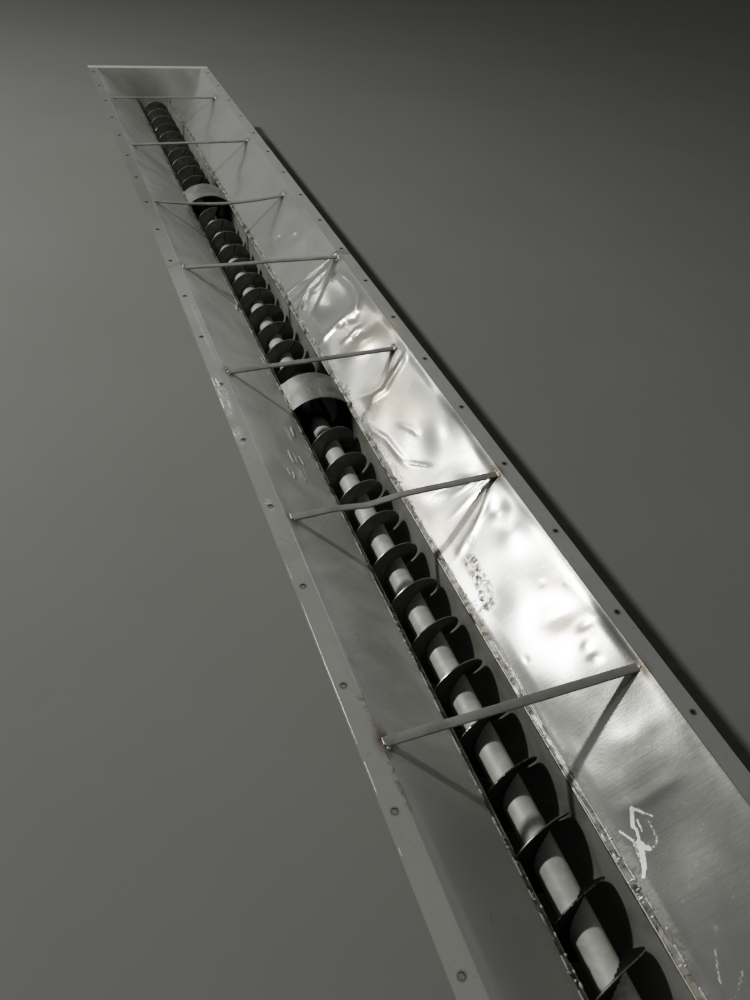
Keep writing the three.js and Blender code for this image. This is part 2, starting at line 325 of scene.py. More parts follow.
sheetLook = {
    "clean": (0.70, 0.70, 0.67),
    "film": (0.50, 0.50, 0.48),             # grease, in a thin layer
    "dust": (0.88, 0.88, 0.85),             # thick and pale on the left and the rims; on the left slope the paleness is partly painted light
    "dustDark": (0.62, 0.62, 0.60),
    "soot": (0.060, 0.056, 0.048),
    "sootShare": 0.88,
    "burn": (0.22, 0.15, 0.085),            # brown beside the welds
    "burnShare": 0.75,
    "chalk": (0.96, 0.96, 0.95),            # ground bright, in strokes
    "scrub": 0.22,                          # and rough
    "rubShare": 0.7,                        # rubbed bright
    "specks": 0.35,                         # how dark they are
    "grime": (0.51, 0.515, 0.49),
    "rough": 0.168,
    "filmRough": 0.05,
    "metal": 0.85,
    "dullRough": 0.14,                      # more on the left, where the film is thick
    "dullMetal": 0.70,
    "grain": (9.0, 380.0, 9.0),             # drawn along the conveyor
    "rimDull": 0.85,                        # the rims lie open to feet and dust
    "rimDust": (0.40, 0.40, 0.385),
    "rimShare": 0.75,
    "rimDirt": 0.30,
    "warm": (0.70, 0.62, 0.54),             # a faint brown tint in patches
    "shade": 0.28,                          # painted shade on the left slope's far end, where the lamps' light falls off, and more on its rim
    "rimShade": 0.24,
    "depth": 0.00022,
    # Noises: scale, detail, roughness, distortion
    "noise": {"film": (2.6, 5.0, 0.6, 0.6), "fine": (160.0, 3.0, 0.6), "cloud": (9.0, 4.0, 0.6, 1.2),
              "blotch": (34.0, 5.0, 0.72, 1.8), "speck": (75.0, 4.0, 0.7),
              "ragged": (150.0, 4.0, 0.7, 0.8), "patch": (3.4, 5.0, 0.62, 1.4)},
    # Where a noise starts to count, and where it counts in full
    "cut": {"film": (0.42, 0.66), "speck": (0.60, 0.66), "speckCloud": (0.5, 0.7), "dirt": (0.38, 0.62),
            "rimDirt": (0.56, 0.72), "burn": (0.36, 0.60), "chalk": (0.30, 0.60), "chalkEdge": (0.02, 0.15),
            "patch": (0.36, 0.66), "warm": (0.30, 0.60), "rub": (0.40, 0.62)},
}


def sheetFinish(name, dullness):
    # Bare rolled sheet: a faint grain, a greasy film, and the masks kept on the points of the mesh
    look, noise, cut = sheetLook, sheetLook["noise"], sheetLook["cut"]
    f = Finish(name)
    dirtMask, burnMask, chalkMask, rubMask, holeShadeMask, nearDarkMask, rimMask, warmMask, shadeMask = (
        f.mask(m) for m in ("dirt", "burn", "chalk", "rub", "soot", "grime", "rim", "warm", "shade"))
    dull = (rimMask * look["rimDull"] + dullness).least(1.0)
    film = f.noise(*noise["film"]).between(*cut["film"])
    grain = f.noise(1.0, 2.0, 0.5, at=f.stretched(look["grain"]))
    fine, cloud, blotch = (f.noise(*noise[n]) for n in ("fine", "cloud", "blotch"))
    speck = f.noise(*noise["speck"]).between(*cut["speck"]) * cloud.between(*cut["speckCloud"])
    # The dirt here is also painted shade: under the bars' ends in the dirt mask, and round the rim holes
    # from the hole mask
    dirt = dirtMask * blotch.between(*cut["dirt"])
    dirt = dirt + rimMask * blotch.between(*cut["rimDirt"]) * look["rimDirt"]
    dirt = (dirt + speck * look["specks"] + holeShadeMask).least(1.0)
    burn = burnMask * cloud.between(*cut["burn"])
    ragged = f.noise(*noise["ragged"])
    chalk = (chalkMask + (ragged - 0.5) * 0.7).between(*cut["chalk"]) * chalkMask.between(*cut["chalkEdge"])
    colour = f.mix(film * 0.5 - rubMask * 0.5, look["clean"], look["film"])
    patch = f.noise(*noise["patch"]).between(*cut["patch"])
    colour = f.mix(dull, colour, f.mix(patch * 0.75, look["dust"], look["dustDark"]))
    colour = f.mix(rimMask * look["rimShare"], colour, look["rimDust"])
    colour = f.mix(warmMask * cloud.between(*cut["warm"]), colour, look["warm"])
    colour = f.mix(nearDarkMask, colour, look["grime"])
    # Painted shade: the left slope and its rim go darker towards the far end, where the lamps' light falls
    # off
    colour = f.mix(shadeMask * (rimMask * look["rimShade"] + look["shade"]), colour, look["soot"])
    colour = f.mix(rubMask * ragged.between(*cut["rub"]) * look["rubShare"], colour, look["chalk"])
    colour = f.mix(burn * look["burnShare"], colour, look["burn"])
    colour = f.mix(dirt * look["sootShare"], colour, look["soot"])
    colour = f.mix(chalk, colour, look["chalk"])
    rough = film * look["filmRough"] + (look["rough"] + dull * look["dullRough"])
    rough = rough + (grain - 0.5) * 0.05 + (cloud - 0.5) * 0.08 + dirt * 0.3
    rough = rough + chalk * look["scrub"] - rubMask * 0.10
    f.paint(colour, rough, (look["metal"] - dirt * 0.6 - dull * look["dullMetal"]).most(0.0))
    return f.relief(grain * 0.18 + fine * 0.5 + dirt * 0.5, look["depth"], 0.55)


# Painted shade: near black on the pipes, flights and the trough's inside round each hanger, where the
# arched covers cast their shadow
hangerShade = {
    "colour": (0.030, 0.030, 0.028),
    "skin": (0.0008, 0.0022),               # it ends between these distances outside the trough's radius
    "drift": 0.04,                          # towards the far end
}


def paintedHangerShade(f, low, high):
    # 1 on the shaft and inside the trough round each hanger bearing: painted shade, black where the arched
    # cover's shadow falls
    drop = (f.z - axisZ).least(0.0)
    skin = [troughRadius + step for step in hangerShade["skin"]]
    inside = 1 - (f.x * f.x + drop * drop).math("SQRT").between(*skin)
    stations = [station + hangerShade["drift"] for station in hangers.values()]
    near, far = (1 - abs(f.y - station).between(low, high) for station in stations)
    return inside * near.most(far)


def plateFinish(name, look):
    # Plain plate: two tones in clouds, rust spots, scratches and a fine tooth
    f = Finish(name)
    cloud = f.noise(look["cloud"], 5.0, 0.62, 0.8)
    tooth = f.noise(look["tooth"], 3.0, 0.6)
    rust = f.noise(look["cloud"] * 5, 6.0, 0.7, 1.0).between(look["rustFrom"], look["rustFrom"] + 0.08)
    scratch = f.noise(1.0, 2.0, 0.5, 0.3, at=f.stretched(look["scratch"])).between(0.64, 0.70)
    colour = f.mix(cloud.between(0.38, 0.66), look["light"], look["dark"])
    colour = f.mix(scratch * 0.5, colour, look["worn"])
    colour = f.mix(rust * look["rustShare"], colour, look["rust"])
    # painted shade round the hangers, on the trough and the pipes
    if "paintedHangerShade" in look:
        colour = f.mix(paintedHangerShade(f, *look["paintedHangerShade"]), colour, hangerShade["colour"])
    rough = look["rough"] + (cloud - 0.5) * 0.25 + (tooth - 0.5) * 0.12 + rust * 0.2 - scratch * 0.12
    f.paint(colour, rough, look["metal"] - rust * (look["metal"] * 0.8))
    return f.relief(tooth * 0.6 + cloud * 0.5 + rust * 0.8, look["depth"], 0.6)


plateLooks = {
    "trough": {"light": (0.48, 0.49, 0.46), "dark": (0.34, 0.35, 0.32), "worn": (0.5, 0.5, 0.48),
               "rust": (0.16, 0.10, 0.06), "metal": 0.2, "rough": 0.48, "cloud": 6.0, "tooth": 220.0,
               "rustFrom": 0.62, "rustShare": 0.7, "scratch": (90.0, 4.0, 90.0), "depth": 0.0003,
               "paintedHangerShade": (0.14, 0.24)},
    "bar": {"light": (0.50, 0.50, 0.48), "dark": (0.37, 0.365, 0.345), "worn": (0.42, 0.42, 0.40),
            "rust": (0.12, 0.08, 0.05), "metal": 0.5, "rough": 0.46, "cloud": 9.0, "tooth": 260.0,
            "rustFrom": 0.62, "rustShare": 0.6, "scratch": (14.0, 120.0, 120.0), "depth": 0.0002},
    "cover": {"light": (0.46, 0.46, 0.44), "dark": (0.34, 0.34, 0.32), "worn": (0.7, 0.7, 0.67),
              "rust": (0.22, 0.14, 0.08), "metal": 0.75, "rough": 0.46, "cloud": 11.0, "tooth": 240.0,
              "rustFrom": 0.64, "rustShare": 0.7, "scratch": (80.0, 9.0, 80.0), "depth": 0.0002},
    "strip": {"light": (0.38, 0.37, 0.325), "dark": (0.09, 0.09, 0.080), "worn": (0.86, 0.85, 0.79),
              "rust": (0.17, 0.110, 0.06), "metal": 0.4, "rough": 0.48, "cloud": 34.0, "tooth": 260.0,
              "rustFrom": 0.58, "rustShare": 0.7, "scratch": (60.0, 12.0, 60.0), "depth": 0.0005},
    "pipe": {"light": (0.82, 0.82, 0.79), "dark": (0.64, 0.64, 0.61), "worn": (0.85, 0.85, 0.81),
             "rust": (0.20, 0.14, 0.09), "metal": 0.15, "rough": 0.55, "cloud": 16.0, "tooth": 300.0,
             "rustFrom": 0.64, "rustShare": 0.5, "scratch": (40.0, 60.0, 40.0), "depth": 0.00015,
             "paintedHangerShade": (0.09, 0.13)},
    "iron": {"light": (0.10, 0.105, 0.105), "dark": (0.055, 0.058, 0.06), "worn": (0.25, 0.25, 0.25),
             "rust": (0.14, 0.08, 0.045), "metal": 0.3, "rough": 0.58, "cloud": 22.0, "tooth": 150.0,
             "rustFrom": 0.60, "rustShare": 0.6, "scratch": (60.0, 60.0, 60.0), "depth": 0.0005},
    "saddle": {"light": (0.32, 0.32, 0.30), "dark": (0.19, 0.185, 0.17), "worn": (0.45, 0.45, 0.43),
               "rust": (0.19, 0.10, 0.05), "metal": 0.5, "rough": 0.55, "cloud": 12.0, "tooth": 200.0,
               "rustFrom": 0.56, "rustShare": 0.75, "scratch": (50.0, 70.0, 50.0), "depth": 0.0003},
    "shaft": {"light": (0.48, 0.48, 0.47), "dark": (0.30, 0.30, 0.29), "worn": (0.66, 0.66, 0.65),
              "rust": (0.17, 0.11, 0.07), "metal": 0.95, "rough": 0.34, "cloud": 18.0, "tooth": 320.0,
              "rustFrom": 0.62, "rustShare": 0.6, "scratch": (8.0, 500.0, 8.0), "depth": 0.0001},
    # Near-white: for real scuffs and smears, and for painted highlights along edges and welds
    "smear": {"light": (0.95, 0.95, 0.93), "dark": (0.84, 0.84, 0.81), "worn": (0.95, 0.95, 0.93),
              "rust": (0.60, 0.58, 0.53), "metal": 0.3, "rough": 0.42, "cloud": 50.0, "tooth": 300.0,
              "rustFrom": 0.62, "rustShare": 0.5, "scratch": (60.0, 60.0, 60.0), "depth": 0.0003},
    "bolt": {"light": (0.50, 0.50, 0.48), "dark": (0.32, 0.32, 0.30), "worn": (0.66, 0.66, 0.64),
             "rust": (0.20, 0.12, 0.07), "metal": 0.9, "rough": 0.40, "cloud": 60.0, "tooth": 400.0,
             "rustFrom": 0.60, "rustShare": 0.5, "scratch": (90.0, 90.0, 90.0), "depth": 0.0001},
}


weldLook = {
    "tint": (34.0, 4.0, 0.6, 1.0),          # noises: scale, detail, roughness, distortion
    "bright": (120.0, 3.0, 0.6),
    "stops": [(0.36, (0.90, 0.90, 0.88, 1.0)), (0.56, (0.78, 0.77, 0.74, 1.0)),
              (0.66, (0.24, 0.20, 0.16, 1.0)), (0.74, (0.08, 0.075, 0.07, 1.0))],
    "rough": (0.34, 0.28),                  # the least, and how much more
    "metal": 0.6,
    "depth": 0.0004,
}


def weldFinish():
    # Weld metal: bright, with brown and black heat tints in patches
    look = weldLook
    f = Finish("weldMetal")
    tint, bright = f.noise(*look["tint"]), f.noise(*look["bright"])
    colour = f.add("ShaderNodeValToRGB", {"stops": look["stops"]}, {0: tint})
    least, more = look["rough"]
    f.paint(colour, least + bright * more, look["metal"])
    return f.relief(bright + tint * 0.5, look["depth"], 0.7)


flightLook = {
    "scale": (0.020, 0.020, 0.021),
    "dust": (0.075, 0.073, 0.069),
    "dustShare": 0.7,
    "pale": (0.50, 0.49, 0.47),             # paler, but not at the near end
    "paleShare": 0.85,
    "paleFrom": (-2.10, -1.20),
    "worn": (0.66, 0.66, 0.63),
    "wornFrom": 0.0012,                     # the bright rim is this wide
    "wornWander": 0.0022,                   # and ragged
    "rust": (0.085, 0.048, 0.028),
    "rustShare": 0.7,
    "rough": 0.62,
    "metal": 0.25,
    "depth": 0.0003,
    "paintedHangerShade": (0.09, 0.13),
    # Noises: scale, detail, roughness, distortion
    "noise": {"ragged": (120.0, 4.0, 0.65), "dust": (18.0, 5.0, 0.65, 0.8), "rust": (46.0, 5.0, 0.7)},
}


def flightFinish():
    # Black plate whose outer edge is rubbed bright; the distance from the screw axis finds the edge
    look, noise = flightLook, flightLook["noise"]
    f = Finish("flightPlate")
    lift = f.z - axisZ
    radius = (f.x * f.x + lift * lift).math("SQRT")
    ragged = f.noise(*noise["ragged"])
    edge = [flightRadius - look["wornFrom"] * share for share in (1.0, 0.4)]
    worn = (radius + (ragged - 0.5) * look["wornWander"]).between(*edge)
    dust = f.noise(*noise["dust"]).between(0.45, 0.75)
    rust = f.noise(*noise["rust"]).between(0.60, 0.70)
    colour = f.mix(dust * look["dustShare"], look["scale"], look["dust"])
    pale = f.y.between(*look["paleFrom"])
    colour = f.mix(pale * (dust * 0.4 + 0.6) * look["paleShare"], colour, look["pale"])
    colour = f.mix(rust * look["rustShare"], colour, look["rust"])
    colour = f.mix(worn, colour, look["worn"])
    # painted shade round the hangers
    colour = f.mix(paintedHangerShade(f, *look["paintedHangerShade"]), colour, hangerShade["colour"])
    f.paint(colour, look["rough"] - worn * 0.32 + dust * 0.15, look["metal"] + worn * (1 - look["metal"]))
    return f.relief(ragged * 0.6 + dust * 0.8, look["depth"], 0.6)


finishes = {name: plateFinish(name + "Plate", look) for name, look in plateLooks.items()}
finishes["slopeRight"] = sheetFinish("rightSheet", 0.0)
# The left slope: dusty and dull, and paler than the right as painted light, standing in for light the lamps
# do not bring to this side
finishes["slopeLeft"] = sheetFinish("leftSheet", 1.0)
# The end plates: pale and dull; the paleness is painted light, standing in for the bright reflections on
# the far plate
finishes["end"] = sheetFinish("endSheet", 0.8)
finishes["weld"] = weldFinish()
finishes["flight"] = flightFinish()
print("finishes made:", len(finishes))


# Slopes. A place on them is a station Y and a distance s from the foot, measured up the sheet.

slopes = {
    "foot": 0.004,                          # the sheet starts this far up, under the lap strip
    "foldRadius": 0.005,
    "foldSteps": 6,
    "rimStep": 0.006,
    "rimDrop": (0.0011, 0.0010),            # how far the rim's edge hangs, and how much more where rubbed
    "rimWaves": (6, 0.07, 0.5),             # count, shortest and longest
    "rightStep": (0.0060, 0.0052),          # grid along Y and up the sheet, on the plate nearest the camera
    "step": (0.010, 0.008),
    # Holes in the rim: first station, pitch, distance out from the fold, and from a plate's end
    "holes": {"first": -2.256, "pitch": 0.259, "count": 19, "radius": 0.005,
              "out": 0.02525, "margin": 0.020},
    "soot": (0.0045, 0.0105),               # painted shade: a dark ring round each hole, from and to these distances
    "footDirt": {"share": 0.45, "fade": 0.040, "until": 0.05},
    # Round the bars' ends: real soot, and painted contact shade under each end
    "barSootAndShade": {"share": 0.8, "reach": (0.020, 0.018)},
    "barBurn": (0.045, 0.032),              # half lengths of the brown mark round a bar's end
    "jointBurn": {"share": 0.7, "fade": (0.006, 0.03)},
    "right": {
        # A finer grid: from and to along Y, from and to up the sheet, and its steps
        "fine": ((-2.205, -2.080), (0.024, 0.108), (0.0025, 0.0025)),
        # Soft dents and bulges: station and s, half lengths, height, turn in degrees
        "dents": [
            ((-1.740, 0.115), (0.330, 0.165), 0.0050, 0),
            ((-1.672, 0.165), (0.055, 0.075), -0.0034, 12), ((-1.730, 0.205), (0.018, 0.030), -0.0013, 0),
            ((-1.805, 0.183), (0.015, 0.021), -0.0011, 25), ((-1.772, 0.183), (0.014, 0.020), -0.0010, -20),
            ((-2.180, 0.120), (0.130, 0.130), -0.0030, 0),
            ((-1.620, 0.225), (0.008, 0.008), -0.0004, 0), ((-1.615, 0.240), (0.008, 0.006), -0.0004, 0),
            ((-1.720, 0.057), (0.010, 0.010), -0.0005, 0), ((-1.585, 0.180), (0.009, 0.012), -0.0004, 0),
            ((-1.340, 0.195), (0.050, 0.045), -0.0035, 0), ((-1.430, 0.190), (0.060, 0.060), 0.0030, 0),
            ((-1.020, 0.190), (0.110, 0.080), 0.0045, 10), ((-1.170, 0.120), (0.060, 0.090), -0.0035, 0),
            ((-0.180, 0.125), (0.120, 0.090), -0.0050, 0), ((-0.480, 0.150), (0.070, 0.110), 0.0040, 0),
            ((-0.340, 0.170), (0.022, 0.028), -0.0020, 0), ((-0.420, 0.145), (0.022, 0.026), -0.0020, 0),
            ((-0.320, 0.120), (0.020, 0.020), -0.0018, 0), ((-0.085, 0.028), (0.022, 0.020), 0.0030, 0),
            ((-0.050, 0.105), (0.022, 0.028), 0.0020, 0), ((0.030, 0.150), (0.022, 0.060), -0.0022, 0),
            ((0.330, 0.165), (0.035, 0.035), -0.0026, 0), ((0.400, 0.110), (0.030, 0.030), -0.0022, 0),
        ],
        # Creases: points, half width, height
        "creases": [
            ([(-1.965, 0.095), (-1.973, 0.129), (-1.983, 0.160), (-1.972, 0.200), (-1.985, 0.251)],
             0.020, 0.0004),
            ([(-2.075, 0.042), (-2.086, 0.097), (-2.084, 0.143), (-2.085, 0.187)], 0.014, 0.0007),
            ([(-1.246, 0.236), (-1.223, 0.204), (-1.220, 0.157), (-1.212, 0.096)], 0.009, 0.0012),
            ([(-1.248, 0.236), (-1.250, 0.211), (-1.257, 0.153), (-1.271, 0.081)], 0.009, 0.0014),
            ([(-1.252, 0.236), (-1.310, 0.170), (-1.348, 0.109), (-1.370, 0.066), (-1.387, 0.035)],
             0.010, 0.0014),
            ([(-1.246, 0.236), (-1.190, 0.150), (-1.160, 0.060)], 0.012, -0.0014),
            ([(-1.090, 0.115), (-1.055, 0.091), (-1.011, 0.056)], 0.005, -0.0012),
            ([(-1.030, 0.062), (-0.961, 0.052), (-0.892, 0.047), (-0.826, 0.025), (-0.770, 0.026)],
             0.010, 0.0012),
            ([(-0.968, 0.134), (-0.924, 0.126), (-0.874, 0.100)], 0.008, 0.0008),
            ([(-0.640, 0.240), (-0.658, 0.220), (-0.690, 0.165), (-0.718, 0.121), (-0.713, 0.076),
              (-0.676, 0.038)], 0.012, 0.0030),
            ([(0.023, 0.240), (0.003, 0.185), (-0.004, 0.116), (-0.013, 0.065)], 0.013, 0.0018),
            ([(-0.006, 0.214), (-0.033, 0.165), (-0.067, 0.110)], 0.011, 0.0017),
            ([(-0.054, 0.190), (-0.088, 0.222), (-0.168, 0.230), (-0.259, 0.220), (-0.306, 0.191),
              (-0.302, 0.145)], 0.016, 0.0035),
            ([(-0.023, 0.089), (-0.049, 0.051), (-0.101, 0.022)], 0.010, 0.0022),
            ([(-0.293, 0.170), (-0.308, 0.111), (-0.319, 0.050), (-0.338, 0.011)], 0.013, 0.0024),
            ([(-0.393, 0.179), (-0.407, 0.121), (-0.403, 0.080)], 0.012, 0.0020),
        ],
        "seed": 11, "wave": 0.0013, "long": 0.75, "short": 0.11,
        # Stains: middle, half lengths, share
        "dirt": [((-0.600, 0.012), (0.060, 0.030), 0.9), ((-1.490, 0.062), (0.085, 0.028), 0.75),
                 ((-1.545, 0.020), (0.050, 0.022), 0.75), ((-1.370, 0.095), (0.030, 0.020), 0.5),
                 ((-0.900, 0.015), (0.300, 0.030), 0.5), ((-2.150, 0.020), (0.300, 0.018), 0.5)],
        "warm": [((-1.655, 0.180), (0.110, 0.085), 1.0), ((-0.450, 0.190), (0.170, 0.130), 0.9),
                 ((-1.310, 0.130), (0.080, 0.070), 0.5), ((-0.790, 0.125), (0.210, 0.115), 1.0),
                 ((-1.180, 0.050), (0.330, 0.045), 0.8)],
        # Strokes: points, half width, share
        "strokes": {
            "chalk": [([(-2.0882, 0.0775), (-2.1012, 0.0695), (-2.1147, 0.0612)], 0.0044, 1.0),
                      ([(-2.0882, 0.0775), (-2.0971, 0.0865), (-2.1046, 0.0914)], 0.0030, 1.0),
                      ([(-2.1046, 0.0914), (-2.1118, 0.0983), (-2.1173, 0.1025)], 0.0017, 0.9),
                      ([(-2.1097, 0.0747), (-2.1212, 0.0727), (-2.1293, 0.0711)], 0.0028, 0.60),
                      ([(-2.1147, 0.0612), (-2.1219, 0.0642), (-2.1427, 0.0568)], 0.0030, 1.0),
                      ([(-2.1468, 0.0578), (-2.1542, 0.0586), (-2.1594, 0.0648)], 0.0050, 1.0),
                      ([(-2.1427, 0.0545), (-2.1611, 0.0500), (-2.1723, 0.0440), (-2.1817, 0.0393)],
                       0.0054, 1.0),
                      ([(-2.1817, 0.0393), (-2.1932, 0.0293)], 0.0040, 0.9),
                      ([(-2.1110, 0.0353), (-2.1201, 0.0403), (-2.1358, 0.0476)], 0.0024, 0.9),
                      ([(-2.1358, 0.0476), (-2.1484, 0.0448), (-2.1699, 0.0397)], 0.0042, 0.48),
                      ([(-2.1212, 0.0917), (-2.1364, 0.0900), (-2.1510, 0.0875), (-2.1606, 0.0796),
                        (-2.1630, 0.0682)], 0.0034, 0.42),
                      ([(-2.340, 0.069), (-2.363, 0.056), (-2.381, 0.047)], 0.0035, 0.42),
                      ([(-2.382, 0.089), (-2.395, 0.074), (-2.406, 0.058)], 0.0040, 0.42)],
            "dirt": [([(-1.414, 0.067), (-1.463, 0.065), (-1.508, 0.058), (-1.548, 0.047)], 0.022, 1.0),
                     ([(-1.090, 0.115), (-1.035, 0.070)], 0.003, 0.5)],
        },
    },
    "left": {
        "fine": ((-1.055, -0.790), (0.070, 0.128), (0.0040, 0.0030)),
        "dents": [
            ((-1.030, 0.118), (0.045, 0.012), 0.0012, 0), ((-0.954, 0.104), (0.035, 0.010), 0.0012, 0),
            ((-0.830, 0.080), (0.045, 0.012), 0.0012, 0), ((-0.895, 0.030), (0.020, 0.010), 0.0012, 0),
            ((-0.030, 0.042), (0.025, 0.010), 0.0012, 0),
        ],
        "creases": [],
        "seed": 23, "wave": 0.0010, "long": 0.9, "short": 0.16,
        # The first stain, at the first bar's left end, is soot and painted contact shade under the bar
        "dirt": [((-1.865, 0.225), (0.030, 0.025), 0.5), ((-1.100, 0.012), (1.000, 0.016), 0.4)],
        "rub": [((-0.755, 0.290), (0.130, 0.022), 1.0), ((-0.935, 0.292), (0.055, 0.018), 0.9),
                ((-0.400, 0.272), (0.250, 0.008), 0.6), ((-1.215, 0.284), (0.030, 0.012), 0.7)],
        "strokes": {
            "chalk": [([(-1.000, 0.112), (-1.045, 0.122)], 0.0050, 0.8),
                      ([(-0.935, 0.098), (-0.975, 0.110)], 0.0045, 0.8),
                      ([(-0.800, 0.078), (-0.860, 0.084)], 0.0050, 0.8),
                      ([(-0.990, 0.092), (-1.045, 0.102)], 0.0040, 0.7),
                      ([(-0.885, 0.026), (-0.910, 0.034)], 0.0050, 0.8),
                      ([(-0.020, 0.047), (-0.050, 0.037)], 0.0050, 0.7)],
            "dirt": [([(-1.766, 0.260), (-1.818, 0.258), (-1.907, 0.254), (-1.974, 0.257), (-2.011, 0.255)],
                      0.007, 0.6)],
        },
        "grime": (-2.10, -1.70),            # darker towards the near end, between these stations
        "shade": (-0.30, 0.70),             # and painted shade towards the far end
    },
}

# Tie bars: station and height of each end; the same figures as in the frame
bars = {
    "ends": [((-1.870, 0.349), (-1.869, 0.346)), ((-1.258, 0.341), (-1.246, 0.348)),
             ((-0.634, 0.346), (-0.587, 0.331)), ((0.045, 0.341), (0.020, 0.350)),
             ((0.618, 0.347), (0.660, 0.331)), ((1.290, 0.339), (1.310, 0.338)),
             ((2.025, 0.332), (2.000, 0.336))],
    "kink": {1: 0.012},
    "sag": {4: 0.022},
    "kinkAt": 0.34,
    "kinkReach": 0.16,
    "width": 0.020,
    "thickness": 0.005,
    "corner": 0.0012,
    "wander": 0.0006,                       # a hand's work: never quite flat
    "twist": 0.05,
    # Twist, sway and bounce: size, seed for the first bar, and count, shortest and longest of the waves
    "waves": [("twist", 60, 3, 0.4, 0.9), ("wander", 70, 4, 0.08, 0.5), ("wander", 80, 4, 0.06, 0.4)],
    "rows": 90,
    "weld": {"lift": 0.0008, "radius": (0.0020, 0.0032), "drops": (4, 8), "drop": (0.0022, 0.0044)},
}

foldTangent = slopes["foldRadius"] * math.tan(slopeAngle / 2)
upSheet = {side: np.array([side * math.cos(slopeAngle), 0, math.sin(slopeAngle)]) for side in (-1, 1)}
offSheet = {side: np.array([-side * math.sin(slopeAngle), 0, math.cos(slopeAngle)]) for side in (-1, 1)}
sides = {"left": -1, "right": 1}


def slopePoint(side, y, s, lift=0.0):
    # A point over the slope of one side: foot + s up the sheet + lift off it
    foot = np.array([side * troughRadius, 0, wallTop])
    y, s, lift = np.broadcast_arrays(y, s, lift)
    point = foot + s[..., None] * upSheet[side] + lift[..., None] * offSheet[side]
    point[..., 1] = y
    return point


def ellipse(y, s, at, reach, turn=0.0):
    # Distance from an ellipse's middle, 1 on its edge
    c, q = math.cos(math.radians(turn)), math.sin(math.radians(turn))
    a, b = y - at[0], s - at[1]
    return np.hypot((a * c + b * q) / reach[0], (b * c - a * q) / reach[1])


def offPath(y, s, points):
    # Distance to the nearest stretch of an open path, and how far along the path that is (0 to 1)
    nearest, along = np.full(np.shape(y), np.inf), np.zeros(np.shape(y))
    count = len(points) - 1
    for k in range(count):
        (ay, aUp), (by, bUp) = points[k], points[k + 1]
        dy, ds = by - ay, bUp - aUp
        t = np.clip(((y - ay) * dy + (s - aUp) * ds) / (dy * dy + ds * ds), 0, 1)
        away = np.hypot(y - ay - t * dy, s - aUp - t * ds)
        closer = away < nearest
        nearest, along = np.where(closer, away, nearest), np.where(closer, (k + t) / count, along)
    return nearest, along


def slopeRelief(look, y, s):
    # How far the sheet stands off its plane: waves, dents exp(-2.2 d^2), creases exp(-(d / width)^2)
    inPlate = smooth(s, 0.006, 0.05) * smooth(slopeLength - s, 0.0, 0.03)
    total = waves(y, s, look["seed"], 7, look["short"], look["long"]) * look["wave"] * inPlate
    for at, reach, depth, turn in look["dents"]:
        total += depth * np.exp(-2.2 * ellipse(y, s, at, reach, turn) ** 2)
    for points, width, height in look["creases"]:
        away, along = offPath(y, s, points)
        total += (height * np.exp(-(away / width) ** 2)
                  * smooth(along, -0.1, 0.25) * smooth(1 - along, -0.1, 0.3))
    return total * smooth(s, 0.004, 0.020) * smooth(slopeLength - 0.002 - s, 0.0, 0.012)


def rimDrop(look, y, s):
    # How far the rim hangs below its plane: nothing at the fold, more at its edge, with waves along it
    ends = smooth(y - nearEnd, 0.0, 0.15) * smooth(farEnd - y, 0.0, 0.15)
    hang, rubbed = slopes["rimDrop"]
    ripple = (0.5 + 0.3 * waves(y, s, look["seed"] + 5, *slopes["rimWaves"])) * hang
    ripple = ripple + maskOf(look, "rub", y, s) * rubbed
    return np.maximum(ripple, 0) * smooth(s, slopeLength, slopeLength + rimWidth) * ends


def maskOf(look, name, y, s):
    # Stains and strokes of one kind, 1 where they are full
    total = np.zeros(np.shape(y))
    for at, reach, share in look.get(name, ()):
        total = np.maximum(total, share * (1 - smooth(ellipse(y, s, at, reach), 0.45, 1.0)))
    for points, width, share in look["strokes"].get(name, ()):
        away = offPath(y, s, points)[0]
        total = np.maximum(total, share * (1 - smooth(away / width, 0.55, 1.15)))
    return total


def holeMask(y, s, stations):
    # A dark ring round each hole in the rim: painted shade, so that the hole looks as dark as the shade
    # under it
    total = np.zeros(np.shape(y))
    at = slopeLength + slopes["holes"]["out"]
    for station in stations:
        total = np.maximum(total, 1 - smooth(np.hypot(y - station, s - at), *slopes["soot"]))
    return total


def barEndMask(side, y, s, reach):
    # Soot, heat tint and painted contact shade round the welded ends of the bars
    total = np.zeros(np.shape(y))
    for ends in bars["ends"]:
        station, height = ends[0 if side < 0 else 1]
        at = (station, (height - wallTop) / math.sin(slopeAngle))
        total = np.maximum(total, 1 - smooth(ellipse(y, s, at, reach), 0.3, 1.0))
    return total


def slopeMasks(look, side, y, up, stations):
    # What is kept on the points of a slope for its finish
    foot, bar, joint = slopes["footDirt"], slopes["barSootAndShade"], slopes["jointBurn"]
    footDirt = (1 - smooth(up, 0.0, foot["fade"])) * foot["share"] * (up < foot["until"])
    jointBurn = (1 - smooth(np.abs(y - plateJoint), *joint["fade"])) * joint["share"]
    masks = {name: maskOf(look, name, y, up) for name in ("chalk", "rub", "warm")}
    masks["dirt"] = (np.maximum(maskOf(look, "dirt", y, up), footDirt)
                     + barEndMask(side, y, up, bar["reach"]) * bar["share"])
    masks["soot"] = holeMask(y, up, stations)
    masks["rim"] = smooth(up, slopeLength - 0.001, slopeLength + 0.002)
    masks["burn"] = barEndMask(side, y, up, slopes["barBurn"]) + jointBurn
    masks["grime"] = 1 - smooth(y, *look["grime"]) if "grime" in look else 0 * y
    masks["shade"] = smooth(y, *look["shade"]) if "shade" in look else 0 * y
    return masks


